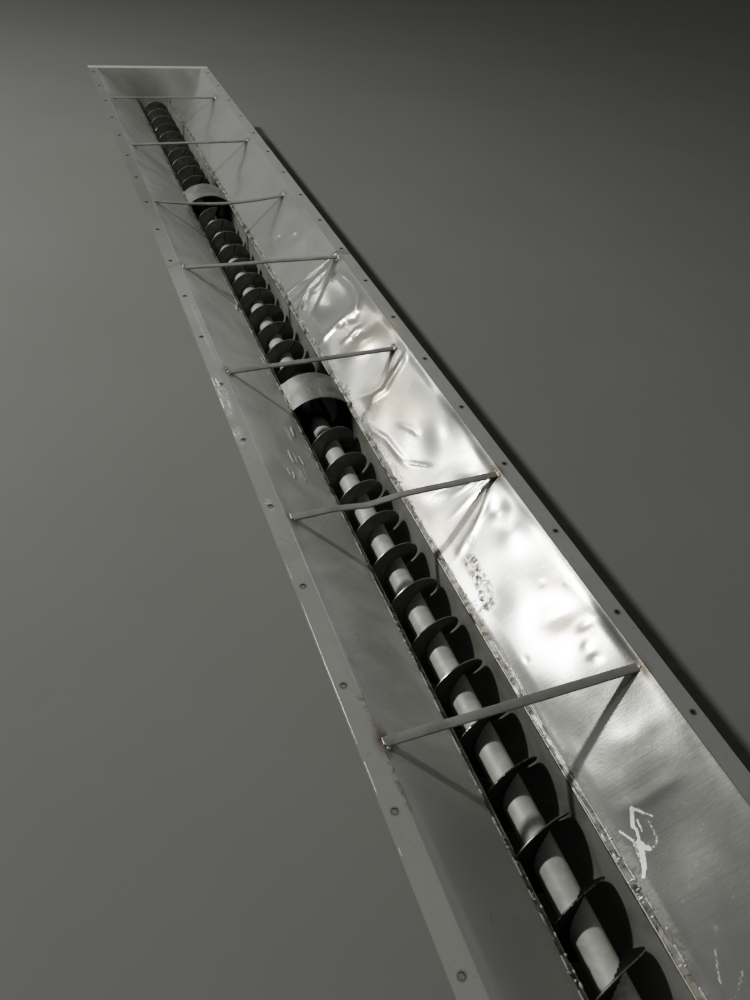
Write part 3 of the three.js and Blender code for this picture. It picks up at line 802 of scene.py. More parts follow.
def gridLines(low, high, step, extra=()):
    # Even lines between two ends, with extra lines kept and even ones too near to them dropped
    even = np.linspace(low, high, max(2, round((high - low) / step) + 1))
    extra = np.asarray(sorted(extra))
    if len(extra):
        even = even[np.min(np.abs(even[:, None] - extra[None, :]), axis=1) > step * 0.45]
    return np.unique(np.concatenate([even, extra, [low, high]]))


def punched(y, out, onRim, stations):
    # Each hole in the rim is a square of cells whose corners move on to circles; the cells in it go
    holes, inHole = slopes["holes"], np.zeros(y.shape, bool)
    r = holes["radius"]
    for station in stations:
        a, b = y - station, out - holes["out"]
        square = np.maximum(np.abs(a), np.abs(b))
        share = np.clip((2 * r - square) / r, 0, 1) * onRim
        away = np.maximum(np.hypot(a, b), 1e-9)
        y = y + share * (a / away * square - a)
        out = out + share * (b / away * square - b)
        inHole |= (square < r * 1.01) & onRim
    return y, out, inHole


def slopeGrid(look, low, high, step, stations):
    # Lines along Y, and up the sheet in three stretches: distance up the slope, share of the fold's turn,
    # and distance out on the rim
    holes = slopes["holes"]
    beside = holes["radius"] * np.arange(-2, 2.1, 0.5)
    fineY, fineS, fineStep = look["fine"]
    isFine = low < fineY[0] < high
    fineRows = np.arange(*fineY, fineStep[0]) if isFine else ()
    fineLines = np.arange(*fineS, fineStep[1]) if isFine else ()
    ys = gridLines(low, high, step[0], [*(y + d for y in stations for d in beside), *fineRows])
    stretches = [gridLines(slopes["foot"], slopeLength - foldTangent, step[1], fineLines),
                 np.linspace(0, 1, slopes["foldSteps"] + 1)[1:-1],
                 gridLines(foldTangent, rimWidth, slopes["rimStep"], holes["out"] + beside)]
    kind = np.repeat(np.arange(3), [len(lines) for lines in stretches])
    y, s = np.meshgrid(ys, np.concatenate(stretches), indexing="ij")
    return y, s, np.broadcast_to(kind, y.shape)


def makeSlope(label, end, low, high, step):
    # One plate with its rim, from one station to another
    side, look, holes = sides[label], slopes[label], slopes["holes"]
    stations = [y for y in holes["first"] + holes["pitch"] * np.arange(holes["count"])
                if low + holes["margin"] < y < high - holes["margin"]]
    y, s, kind = slopeGrid(look, low, high, step, stations)
    onSlope, onFold, onRim = kind == 0, kind == 1, kind == 2
    y, out, inHole = punched(y, s, onRim, stations)
    up = np.select([onSlope, onFold], [s, slopeLength], slopeLength + out)

    # On the fold the surface is an arc of the fold radius between the two flats
    radius = slopes["foldRadius"]
    turn = slopeAngle - s * slopeAngle
    x = np.select([onSlope, onFold], [troughRadius + s * math.cos(slopeAngle),
                                      foldX + foldTangent - radius * np.sin(turn)], foldX + out)
    z = np.select([onSlope, onFold], [wallTop + s * math.sin(slopeAngle),
                                      rimTop - radius + radius * np.cos(turn)], rimTop)
    points = np.stack([side * x, y, z], -1)
    lift = np.where(onSlope, slopeRelief(look, y, np.minimum(up, slopeLength)), 0)
    points += lift[..., None] * offSheet[side]
    points[..., 2] -= rimDrop(look, y, up)

    quads = gridFaces(*y.shape)
    quads = quads[~inHole.ravel()[quads].all(1)]
    if side < 0:
        quads = quads[:, ::-1]
    used = np.unique(quads)
    part = thickened(points, quads, sheet)
    part[0][:, 0] = np.clip(part[0][:, 0], -rimOuter, rimOuter)
    finish = finishes["slope" + label.capitalize()]
    piece = makePiece("slope_sheet_" + label + "_" + end, part, finish, "frame",
                      ["slope_" + label + "_" + end])
    for name, mask in slopeMasks(look, side, y, up, stations).items():
        layer = piece.data.attributes.new(name, "FLOAT", "POINT")
        layer.data.foreach_set("value", np.tile(mask.ravel()[used], 2).astype(np.float32))


for label, step in (("left", slopes["step"]), ("right", slopes["rightStep"])):
    makeSlope(label, "near", nearEnd, plateJoint, step)
    makeSlope(label, "far", plateJoint, farEnd, slopes["step"])
print("slopes made")


# Troughs: a wall, a half circle and a wall, in three lengths

troughs = {
    "steps": 72,
    "row": 0.030,
    "gap": 0.00015,
    "bulge": 0.0003,
    "waves": (7, 5, 0.12, 0.6),             # seed, count, shortest and longest
}


def makeTrough(end, low, high):
    # The section goes down a wall, round the half circle and up the other; the walls wave a little
    half = math.pi * troughRadius / 2
    wall = wallTop - axisZ
    t = np.linspace(-half - wall, half + wall, troughs["steps"] + 1)
    ys = gridLines(low + troughs["gap"], high - troughs["gap"], troughs["row"])
    y, t = np.meshgrid(ys, t, indexing="ij")
    turn = np.clip(t, -half, half) / troughRadius
    up = np.maximum(np.abs(t) - half, 0)
    inWall = np.sin(np.clip(up / wall, 0, 1) * math.pi)
    bend = troughs["bulge"] * waves(y, t, *troughs["waves"]) * inWall
    x = np.sin(turn) * troughRadius - np.sign(t) * bend
    points = np.stack([x, y, axisZ - np.cos(turn) * troughRadius + up], -1)
    makePiece("trough_sheet_" + end, thickened(points, gridFaces(*y.shape), sheet), finishes["trough"],
              "frame", ["trough_" + end])


makeTrough("near", nearEnd, hangers["near"])
makeTrough("middle", *hangers.values())
makeTrough("far", hangers["far"], farEnd)
print("troughs made")


# Welds. A bead is a tube along a path, and half of it sinks into the steel.

beadWaves = (0.011, 0.027, 0.063)           # lengths of the waves in which its width and its line wander


def bead(path, off, radius, seed, ripple=0.0028, step=0.0010, flatten=0.62, cols=8):
    # Share of the radius at d: 0.86 + 0.14 |sin(pi d / ripple + wander)| + 0.16 wander, round at both ends
    path, off = np.asarray(path, float), np.asarray(off, float)
    off = off / np.linalg.norm(off)
    gaps = np.linalg.norm(np.diff(path, axis=0), axis=1)
    at = np.concatenate([[0], np.cumsum(gaps)])
    rows = max(6, int(at[-1] / step))
    d = np.linspace(0, at[-1], rows)
    middle = np.stack([np.interp(d, at, path[:, k]) for k in range(3)], -1)
    along = np.gradient(middle, axis=0)
    along /= np.linalg.norm(along, axis=1, keepdims=True)
    across = np.cross(along, off)
    across /= np.linalg.norm(across, axis=1, keepdims=True)
    up = np.cross(across, along)
    rng = np.random.default_rng(seed)
    wander = sum(np.sin(2 * math.pi * d / length + rng.uniform(0, 6.3)) for length in beadWaves) / 3
    size = radius * (0.86 + 0.14 * np.abs(np.sin(math.pi * d / ripple + wander)) + 0.16 * wander)
    reach = min(radius * 1.2, at[-1] / 2)
    size = size * np.sqrt(np.clip(1 - (1 - np.clip(np.minimum(d, at[-1] - d) / reach, 0, 1)) ** 2, 0.02, 1))
    middle = middle + across * (wander * radius * 0.22)[:, None]
    turn = np.linspace(0, 2 * math.pi, cols, endpoint=False)
    rings = (middle[:, None] + across[:, None] * (np.cos(turn) * size[:, None])[..., None]
             + up[:, None] * (np.sin(turn) * size[:, None] * flatten)[..., None])
    return tube(rings)


def blob(at, off, size, seed, cols=14, rows=9):
    # A drop of weld metal, flattened on the sheet: a ball with two and three lumps round it
    off = np.asarray(off, float) / np.linalg.norm(off)
    side = np.cross(off, (0.0, 1.0, 0.0) if abs(off[1]) < 0.9 else (1.0, 0.0, 0.0))
    side /= np.linalg.norm(side)
    other = np.cross(off, side)
    fall = np.linspace(0.02, math.pi - 0.02, rows)[:, None]
    turn = np.linspace(0, 2 * math.pi, cols, endpoint=False)[None, :]
    a, b = np.random.default_rng(seed).uniform(0, 6.3, 2)
    lump = 1 + 0.16 * np.sin(2 * turn + a) * np.sin(fall) + 0.10 * np.sin(3 * turn + b) * np.sin(2 * fall)
    ring = lump * np.sin(fall)
    rings = (np.asarray(at) + side * (ring * np.cos(turn) * size[0])[..., None]
             + other * (ring * np.sin(turn) * size[1])[..., None]
             + off * (lump * np.cos(fall) * size[2])[..., None])
    return tube(rings)


# Lap strips: thin strips folded over the trough's top edge and welded to the slope

laps = {
    "down": 0.006,                          # down the trough's wall
    "up": (0.013, 0.0016),                  # up the slope, and how ragged that edge is
    "edgeWaves": (6, 0.02, 0.4),            # count, shortest and longest
    "thick": 0.0016,
    "lift": 0.00136,                        # off the steel under it
    "row": 0.006,
    "cols": 12,
    "corner": 0.0015,                       # the bend is a blend over this much to each side
    # A thin bright line along the trough's edge, broken here and there
    "line": {"radius": 0.0013, "inside": 0.0014, "until": farEnd - 0.3,
             "run": (0.12, 0.55), "gap": (0.004, 0.03)},
    # Short beads along the strip's upper edge, fine and close to each other only near the camera
    "beads": {"radius": 0.0022, "swell": (0.8, 1.15), "off": 0.0006, "astray": 0.001, "until": 0.55,
              "length": (0.018, 0.060), "gap": (0.030, 0.130), "fineUntil": -0.6, "closeUntil": -1.5},
    # Drops of weld metal, most of them near the near end
    "drops": {"count": 46, "size": (0.0012, 0.0030), "up": (0.002, 0.016),
              "from": 0.15, "spread": (2.2, 1.7)},
}


def lapSheet(side):
    # From below the trough's edge up on to the slope: a blend from the wall's line to the slope's
    look = laps
    ys = gridLines(nearEnd + 0.001, farEnd - 0.001, look["row"])
    width, ragged = look["up"]
    y, share = np.meshgrid(ys, np.linspace(0, 1, look["cols"]), indexing="ij")
    top = width + ragged * waves(y, 0 * y, 41 + side, *look["edgeWaves"])
    d = -look["down"] + share * (top + look["down"])
    wall = np.stack([np.full(y.shape, side * (troughRadius - look["lift"])), y, wallTop + d], -1)
    slope = slopePoint(side, y, np.maximum(d, 0), look["lift"])
    blend = smooth(d, -look["corner"], look["corner"])[..., None]
    points = wall * (1 - blend) + slope * blend
    quads = gridFaces(*y.shape)
    if side < 0:
        quads = quads[:, ::-1]
    return thickened(points, quads, look["thick"])


def lapLine(side, rng):
    # Long thin beads end to end, with short gaps
    look, parts = laps["line"], []
    at = nearEnd + 0.004
    while at < look["until"]:
        run = rng.uniform(*look["run"])
        stations = (at, min(at + run, farEnd - 0.01))
        ends = np.array([[side * (troughRadius - look["inside"]), y, wallTop - 0.0002] for y in stations])
        parts.append(bead(ends, (-side, 0, 0.6), look["radius"], int(at * 997) % 9973,
                          step=0.004, ripple=0.011, cols=6))
        at += run + rng.uniform(*look["gap"])
    return parts


def lapBeads(side, rng):
    # Each bead is a straight run of random length at a random tilt
    look, parts = laps["beads"], []
    at = nearEnd + 0.02
    while at < look["until"]:
        run = rng.uniform(*look["length"])
        s = laps["up"][0] + rng.uniform(-look["astray"], look["astray"])
        up = np.array([s, s + rng.uniform(-look["astray"], look["astray"])])
        ends = slopePoint(side, np.array([at, at + run]), up, look["off"])
        step, ripple = (0.0010, 0.0030) if at < look["fineUntil"] else (0.003, 0.009)
        parts.append(bead(ends, offSheet[side], look["radius"] * rng.uniform(*look["swell"]),
                          int(at * 1000) % 9973, step=step, ripple=ripple))
        at += run + rng.uniform(*look["gap"]) * (0.5 if at < look["closeUntil"] else 1.0)
    return parts


def lapDrops(side, rng):
    # Stations: near end + from + reach u^power, where u is random between 0 and 1
    look, parts = laps["drops"], []
    reach, power = look["spread"]
    for k in range(look["count"]):
        y = nearEnd + look["from"] + reach * rng.uniform() ** power
        size = rng.uniform(*look["size"])
        at = slopePoint(side, y, rng.uniform(*look["up"]), laps["lift"])
        parts.append(blob(at, offSheet[side], (size * rng.uniform(1, 2.4), size, size * 0.6), k + 100))
    return parts


def makeLap(label):
    side = sides[label]
    rng = np.random.default_rng(31 + side)
    makePiece("lap_strip_" + label, lapSheet(side), finishes["strip"], "frame")
    parts = lapLine(side, rng) + lapBeads(side, rng) + lapDrops(side, rng)
    makePiece("lap_weld_" + label, joined(parts), finishes["weld"], "frame", sharp=60)


for label in sides:
    makeLap(label)

# Scuffed lines, smears and drops that stand a little off the sheet, and near-white lines and drops that are
# painted highlights: points (station and s), radius
scuffsAndHighlights = {
    "left": [
        ([(-0.779, 0.0544), (-0.833, 0.0640)], 0.0055), ([(-0.931, 0.1242), (-0.988, 0.1244)], 0.0044),
        ([(-0.934, 0.0847), (-0.975, 0.0786)], 0.0044), ([(-0.852, 0.0322), (-0.874, 0.0215)], 0.0022),
        ([(-1.033, 0.1667), (-1.065, 0.1650)], 0.0031), ([(-1.039, 0.1480), (-1.071, 0.1533)], 0.0039),
        ([(-1.011, 0.1116), (-1.060, 0.1098)], 0.0034), ([(-0.004, 0.024), (-0.061, 0.037)], 0.0055),
        ([(-0.372, 0.031), (-0.425, 0.028)], 0.0034), ([(-0.462, 0.036), (-0.489, 0.033)], 0.0022),
        # Painted highlights: thin white lines along the fold and along the rim's outer edge, where these
        # edges catch the light
        ([(-1.303, 0.2553), (-1.353, 0.2555), (-1.407, 0.2555), (-1.462, 0.2555), (-1.519, 0.2553)],
         0.0013),
        ([(-1.519, 0.2553), (-1.613, 0.2555)], 0.0008),
        ([(-1.390, 0.2985), (-1.471, 0.2985), (-1.547, 0.2988), (-1.601, 0.2990), (-1.660, 0.2992)],
         0.0009),
        ([(-1.660, 0.2992), (-1.793, 0.2992), (-1.863, 0.2994)], 0.0012),
        ([(-1.896, 0.2990), (-1.972, 0.2992), (-2.009, 0.2992), (-2.070, 0.2992)], 0.0012),
        ([(-0.664, 0.2990), (-0.706, 0.2985)], 0.0022), ([(-0.669, 0.2900), (-0.711, 0.2860)], 0.0031),
        ([(-0.720, 0.2960), (-0.750, 0.2935)], 0.0020), ([(-0.765, 0.2990), (-0.814, 0.2980)], 0.0031),
        ([(-0.781, 0.2805), (-0.815, 0.2801)], 0.0032), ([(-0.836, 0.2879), (-0.866, 0.2788)], 0.0034),
        ([(-0.842, 0.2980), (-0.863, 0.2940)], 0.0020), ([(-0.922, 0.2990), (-0.942, 0.2970)], 0.0020),
        ([(-0.931, 0.2891), (-0.938, 0.2777)], 0.0022), ([(-0.973, 0.2941), (-0.977, 0.2769)], 0.0018),
        ([(-1.207, 0.2941), (-1.212, 0.2761)], 0.0020), ([(-0.193, 0.2740), (-0.220, 0.2740)], 0.0022),
        ([(-0.441, 0.2740), (-0.476, 0.2750)], 0.0022),
        # Weld spatter along the lap strip: real drops, made near-white as a painted highlight
        ([(-2.170, 0.0010), (-2.177, 0.0010)], 0.0039), ([(-2.216, 0.0012), (-2.226, 0.0012)], 0.0034),
        ([(-2.251, 0.0010), (-2.257, 0.0012)], 0.0044), ([(-2.277, 0.0005), (-2.284, 0.0010)], 0.0034),
        ([(-2.296, 0.0008), (-2.308, 0.0010)], 0.0039), ([(-2.120, 0.0008), (-2.126, 0.0008)], 0.0022),
    ],
    "right": [
        # Weld beads along the lap strip's edges: real welds, made near-white as a painted highlight along
        # them
        ([(-1.700, 0.0125), (-1.800, 0.0110), (-1.880, 0.0105), (-1.975, 0.0098)], 0.0009),
        ([(-1.975, 0.0096), (-2.026, 0.0120), (-2.075, 0.0140)], 0.0013),
        ([(-2.075, 0.0140), (-2.119, 0.0126), (-2.149, 0.0118)], 0.0021),
        ([(-1.999, 0.0012), (-2.024, 0.0018), (-2.049, 0.0040), (-2.077, 0.0036)], 0.0013),
        ([(-2.097, 0.0024), (-2.115, 0.0033)], 0.0030), ([(-2.135, 0.0034), (-2.155, 0.0016)], 0.0034),
        ([(-2.187, 0.0004), (-2.195, 0.0002)], 0.0020),
        ([(-2.201, 0.0000), (-2.246, 0.0000), (-2.306, 0.0002)], 0.0012),
        ([(-2.277, 0.017), (-2.282, 0.018)], 0.0028),
    ],
}


def makeScuffsAndHighlights(label):
    # Flat beads that follow the sheet, or the lap strip over it, or the rim
    side, look, parts = sides[label], slopes[label], []
    edge = slopeLength + rimWidth
    for k, (points, radius) in enumerate(scuffsAndHighlights[label]):
        y, s = np.array(points).T
        s = np.minimum(s, edge - 0.0006 - radius * 1.2)
        overLap = laps["thick"] * 1.2 * (s < laps["up"][0])
        point = slopePoint(side, y, s, slopeRelief(look, y, np.minimum(s, slopeLength)) + overLap)
        flat = s > slopeLength
        point[flat, 0] = side * (foldX + s[flat] - slopeLength)
        point[flat, 2] = np.minimum(rimTop - rimDrop(look, y, s)[flat], rimTop - radius * 0.5 - 0.0001)
        parts.append(bead(point, (0, 0, 1) if flat.all() else offSheet[side], radius, 700 + k,
                          step=0.002, ripple=0.013, flatten=0.45))
    makePiece("smears_" + label, joined(parts), finishes["smear"], "frame", sharp=60)


for label in sides:
    makeScuffsAndHighlights(label)

plateWeld = {
    "radius": 0.0030,
    "flatten": 0.30,
    "wander": 0.0006,
    "waves": (3, 4, 0.02, 0.2),             # seed, count, shortest and longest
    "rimRadius": 0.0026,
    "rimFlatten": 0.25,
    "rimDepth": 0.0008,
}


def makePlateWeld(label, side):
    # The butt weld where each slope's two plates meet, up the slope and across the rim
    look = plateWeld
    s = np.linspace(0.014, slopeLength - 0.004, 40)
    path = slopePoint(side, plateJoint + look["wander"] * waves(s, 0 * s, *look["waves"]), s)
    rim = [(side * x, plateJoint, rimTop - look["rimDepth"]) for x in (foldX + 0.003, rimOuter - 0.001)]
    parts = [bead(path, offSheet[side], look["radius"], 5, flatten=look["flatten"]),
             bead(rim, (0, 0, 1), look["rimRadius"], 6, flatten=look["rimFlatten"])]
    makePiece("plate_weld_" + label, joined(parts), finishes["weld"], "frame", sharp=60)


for label, side in sides.items():
    makePlateWeld(label, side)
print("lap strips and seams made")


# Tie bars: a flat bar with rounded corners from slope to slope, and a weld round each end

def slopeInside(z):
    # How far out the slope's inner face is at a height
    return troughRadius + (z - wallTop) / math.tan(slopeAngle) - 0.0001


def barSection():
    # Corners of a rounded rectangle, as offsets along Y and Z
    w, t, r = bars["width"] / 2, bars["thickness"] / 2, bars["corner"]
    points = []
    for k, (cy, cz) in enumerate(((w - r, t - r), (-w + r, t - r), (-w + r, -t + r), (w - r, -t + r))):
        for turn in np.radians(np.linspace(0, 90, 4) + 90 * k):
            points.append((cy + r * math.cos(turn), cz + r * math.sin(turn)))
    return np.array(points)


def barPoint(k, a, dy, dz):
    # Along the bar from left (a = 0) to right (a = 1). Its ends follow the slopes. Between them it wanders
    # and twists by waves, sags as a parabola, or has a kink like a tent.
    (ly, lz), (ry, rz) = bars["ends"][k]
    sag = bars["sag"].get(k, 0) * (1 - (2 * a - 1) ** 2)
    kink = bars["kink"].get(k, 0) * np.maximum(0, 1 - np.abs(a - bars["kinkAt"]) / bars["kinkReach"])
    x = -slopeInside(lz + dz) * (1 - a) + slopeInside(rz + dz) * a
    free = np.sin(math.pi * a)
    twist, sway, bounce = (free * bars[size] * waves(x, 0 * x, seed + k, *lengths)
                           for size, seed, *lengths in bars["waves"])
    y = ly + (ry - ly) * (x / foldX + 1) / 2 + dy * np.cos(twist) + sway
    z = lz + (rz - lz) * a - sag - kink + dz + dy * np.sin(twist) + bounce
    return np.stack([x, y, z], -1)


def barEndWeld(k, end, side, rng):
    # A bead over and one under the bar's end, and drops round them
    look, parts = bars["weld"], []
    y, z = bars["ends"][k][end]
    s = (z - wallTop) / math.sin(slopeAngle)
    w, t = bars["width"] / 2 + 0.001, bars["thickness"] / 2 / math.sin(slopeAngle) + 0.001
    for way, seed in ((-1, 200), (1, 210)):
        run = y + w * np.array([rng.uniform(-1.0, -0.2), rng.uniform(0.3, 1.0)])
        path = slopePoint(side, run, s + way * t, look["lift"])
        parts.append(bead(path, offSheet[side], rng.uniform(*look["radius"]), seed + k, flatten=0.8))
    for n in range(rng.integers(*look["drops"])):
        size = rng.uniform(*look["drop"])
        up = min(s + rng.uniform(-2.2, 1.6) * t, slopeLength - 0.010)
        at = slopePoint(side, y + rng.uniform(-1.1, 1.1) * w, up, look["lift"])
        parts.append(blob(at, offSheet[side], (size * 1.5, size, size * 0.7), 220 + 10 * k + n))
    return parts


def makeBar(k):
    section = barSection()
    a = np.linspace(0, 1, bars["rows"])[:, None]
    rings = barPoint(k, a, section[None, :, 0], section[None, :, 1])
    makePiece("tie_bar_steel_%d" % (k + 1), tube(rings), finishes["bar"], "frame",
              ["tie_bar_%d" % (k + 1)], sharp=50)
    rng = np.random.default_rng(90 + k)
    parts = barEndWeld(k, 0, -1, rng) + barEndWeld(k, 1, 1, rng)
    makePiece("tie_bar_weld_%d" % (k + 1), joined(parts), finishes["weld"], "frame", sharp=60)


for k in range(len(bars["ends"])):
    makeBar(k)
print("tie bars made")


# Arched covers over the hanger bearings

covers = {
    "radius": 0.128,                        # outside
    "length": coverHigh.y - coverLow.y,
    "row": 0.004,
    "cols": 70,
    "wave": 0.0008,
    "waves": (5, 0.05, 0.25),               # count, shortest and longest
    "sunk": 1.6,                            # the waves are moved this much down, under the arc
    "seeds": {"near": (17, 19), "far": (18, 20)},   # of the sheet and of its welds
    # Dents: across and along, half lengths, depth
    "dents": {"near": [((0.052, -0.030), (0.020, 0.020), -0.0040),
                       ((0.040, 0.046), (0.030, 0.018), -0.0022),
                       ((-0.045, 0.010), (0.040, 0.030), -0.0012)],
              "far": [((0.020, 0.030), (0.040, 0.030), -0.0018)]},
    # Beads along each foot: from and to, as shares of half the length
    "beads": {"runs": ((-0.95, -0.45), (-0.20, 0.25), (0.55, 0.92)), "radius": (0.0026, 0.0036),
              "up": 0.0015, "off": 0.0008},
    "drops": {"count": 5, "size": (0.0015, 0.0030), "up": (0.001, 0.012), "off": 0.0004},
}


def coverFoot():
    # The sheet's lower edges lie on the slopes: solve x and z on both the circle and the slope's plane
    r, grade = covers["radius"], math.tan(slopeAngle)
    c = wallTop - grade * troughRadius - (coverHigh.z - r)
    footX = (-grade * c + math.sqrt(r * r * (1 + grade * grade) - c * c)) / (1 + grade * grade)
    return footX, math.atan2(footX, grade * footX + c)


def coverSheet(end):
    # An arc whose radius falls by waves and dents, but not at its feet
    look = covers
    middle, r, half = hangers[end], look["radius"], look["length"] / 2
    reach = coverFoot()[1]
    ys, turns = gridLines(-half, half, look["row"]), np.linspace(-reach, reach, look["cols"])
    y, t = np.meshgrid(ys, turns, indexing="ij")
    drop = look["wave"] * (waves(y, t * r, look["seeds"][end][0], *look["waves"]) - look["sunk"])
    for at, size, depth in look["dents"][end]:
        drop = drop + depth * np.exp(-2.2 * ellipse(t * r, y, at, size) ** 2)
    lift = np.minimum(drop * smooth(reach - np.abs(t), 0.0, 0.10), 0)
    points = np.stack([(r + lift) * np.sin(t), middle + y, coverHigh.z - r + (r + lift) * np.cos(t)], -1)
    return thickened(points, gridFaces(*y.shape), sheet)


def coverWelds(end):
    # Beads along both feet, and drops beside them
    middle, half = hangers[end], covers["length"] / 2
    beads, drops, parts = covers["beads"], covers["drops"], []
    rng = np.random.default_rng(covers["seeds"][end][1])
    s = (coverFoot()[0] - troughRadius) / math.cos(slopeAngle)
    for side in (-1, 1):
        for run in beads["runs"]:
            path = slopePoint(side, middle + half * np.array(run), s + beads["up"], beads["off"])
            parts.append(bead(path, offSheet[side], rng.uniform(*beads["radius"]), rng.integers(1000),
                              flatten=0.8))
        for _ in range(drops["count"]):
            size = rng.uniform(*drops["size"])
            y = middle + half * rng.uniform(-1, 1)
            at = slopePoint(side, y, s + rng.uniform(*drops["up"]), drops["off"])
            parts.append(blob(at, offSheet[side], (size * 1.4, size, size * 0.6), rng.integers(1000)))
    return joined(parts)


def makeCover(end):
    makePiece("cover_sheet_" + end, coverSheet(end), finishes["cover"], "frame",
              ["arched_cover_" + end], sharp=50)
    makePiece("cover_weld_" + end, coverWelds(end), finishes["weld"], "frame", sharp=60)


for end in hangers:
    makeCover(end)
print("covers made")


# Screw: turned pipes and shafts, and a helical strip welded round each pipe

screw = {
    "pitch": 0.1276,
    "firstCrest": -2.338,                   # the strip crosses the left side here
    "thickness": 0.004,
    "fillet": 0.0042,                       # leg of the weld at its root
    "round": 0.0011,
    "steps": 84,                            # a turn
    "wobble": 0.0012,
    "wobbleWaves": (6, 0.03, 0.5),          # count, shortest and longest
    "wear": 0.0010,                         # lost from the edge, in places
    "wearFrom": 0.06,                       # this far out
    "wearWaves": (7, 0.010, 0.3),
    "ripples": (0.16, 21),                  # of the root weld: how high, and how many a turn
    "seeds": {"near": 51, "middle": 52, "far": 53},
    # One butt weld each turn, where the strip's rings meet
    "butt": {"radius": 0.0026, "off": 0.0001, "apart": (0.94, 1.06), "flatten": 0.32, "step": 0.0014},
    "pipeSides": 64,
    "chamfer": 0.0012,
    "bore": (0.0235, 0.02),                 # radius, and how deep it is open
    "shaft": 0.019,                         # radius
    "spigot": (0.0230, 0.060),              # radius, and how deep it sits in the pipe
    "spans": {"near": (nearEnd + 0.020, hangers["near"] - 0.123),
              "middle": (hangers["near"] + 0.137, hangers["far"] - 0.115),
              "far": (hangers["far"] + 0.115, farEnd - 0.020)},
}


def aboutAxis(radius, angle, y):
    # Points at a radius and an angle about the screw's axis
    return np.stack(np.broadcast_arrays(radius * np.cos(angle), y, axisZ + radius * np.sin(angle)), -1)


def makeTurned(name, profile, finish, node):
    # A solid of revolution about the screw's axis; the profile lists radius and station, from end to end
    radius, y = np.array(profile).T[:, :, None]
    turn = np.linspace(0, 2 * math.pi, screw["pipeSides"], endpoint=False)
    makePiece(name, tube(aboutAxis(radius, turn, y)), finish, "screw", [node], sharp=30)


def helixAngle(y):
    # Where the strip is at a station: one turn for each pitch
    return math.pi - (y - screw["firstCrest"]) / screw["pitch"] * 2 * math.pi


def flightSection():
    # Radius, and offset from the strip's middle: the weld's leg and throat, the face, the edge, and back
    t, leg, r = screw["thickness"] / 2, screw["fillet"], screw["round"]
    half = [(pipeRadius - 0.0004, t + leg), (pipeRadius + 0.0005, t + leg * 0.86),
            (pipeRadius + leg * 0.38, t + leg * 0.36), (pipeRadius + leg * 0.86, t + 0.0004),
            (pipeRadius + leg, t), (0.0450, t), (0.0600, t), (0.0720, t),
            (flightRadius - r, t), (flightRadius - r * 0.3, t - r * 0.7), (flightRadius, t - r)]
    section = np.array([(a, -b) for a, b in half] + half[::-1])
    return section[None, :, 0], section[None, :, 1]


def flightStrip(end):
    # The section goes round the axis once in each pitch; its root ripples, its edge wobbles and is worn
    look = screw
    low, high = look["spans"][end]
    seed, t, leg = look["seeds"][end], look["thickness"] / 2, look["fillet"]
    rows = round((high - low) / look["pitch"] * look["steps"]) + 1
    y = np.linspace(low, high, rows)[:, None]
    radius, shift = flightSection()
    outward = smooth(radius, pipeRadius + leg, flightRadius)
    height, count = look["ripples"]
    inLeg = radius < pipeRadius + leg * 0.9
    ripple = 1 + height * np.sin(y / look["pitch"] * 2 * math.pi * count) * inLeg
    shift = shift * np.where(np.abs(shift) > t + 0.0002, ripple, 1)
    wobble = look["wobble"] * waves(y, 0 * y, seed, *look["wobbleWaves"]) * outward
    worn = np.clip(0.5 + 0.5 * waves(y, 0 * y, seed + 4, *look["wearWaves"]), 0, 1)
    wear = look["wear"] * worn * smooth(radius, look["wearFrom"], flightRadius)
    return tube(aboutAxis(radius - wear, helixAngle(y), y + shift + wobble))


def flightWelds(end):
    # Straight out from the root to the edge on both faces, about a pitch apart
    look, parts = screw["butt"], []
    low, high = screw["spans"][end]
    rng = np.random.default_rng(screw["seeds"][end])
    out = np.linspace(pipeRadius + 0.004, flightRadius - 0.0015, 6)
    at = low + screw["pitch"] * rng.uniform(0.2, 0.8)
    while at < high:
        for face in (-1, 1):
            path = aboutAxis(out, helixAngle(at), at + face * (screw["thickness"] / 2 + look["off"]))
            parts.append(bead(path, (0, face, 0), look["radius"], int(at * 1000) % 997,
                              flatten=look["flatten"], step=look["step"]))
        at += screw["pitch"] * rng.uniform(*look["apart"])
    return joined(parts)


def pipeEnd(at, way):
    # Profile from inside the bore out to the pipe's outside, at the end that looks against the way
    c, (bore, deep) = screw["chamfer"], screw["bore"]
    return [(bore, at + way * deep), (bore, at), (pipeRadius - c, at), (pipeRadius, at + way * c)]


def spigotEnd(at, way):
    # Profile of a shaft's end that sits in a pipe, from its end to the bare shaft
    c, (spigot, deep) = screw["chamfer"], screw["spigot"]
    return [(spigot - c, at), (spigot, at + way * c), (spigot, at + way * (deep - c)),
            (spigot - c, at + way * deep), (screw["shaft"], at + way * (deep + 0.0004))]


def makeScrewLength(end):
    # A pipe with its flight
    low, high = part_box("shaft_pipe_" + end)
    along = [(pipeRadius, y) for y in np.linspace(low.y + 0.02, high.y - 0.02, 12)]
    makeTurned("pipe_steel_" + end, pipeEnd(low.y, 1) + along + pipeEnd(high.y, -1)[::-1],
               finishes["pipe"], "shaft_pipe_" + end)
    makePiece("flight_strip_" + end, flightStrip(end), finishes["flight"], "screw",
              ["flight_" + end], sharp=40)
    makePiece("flight_weld_" + end, flightWelds(end), finishes["iron"], "screw", sharp=60)


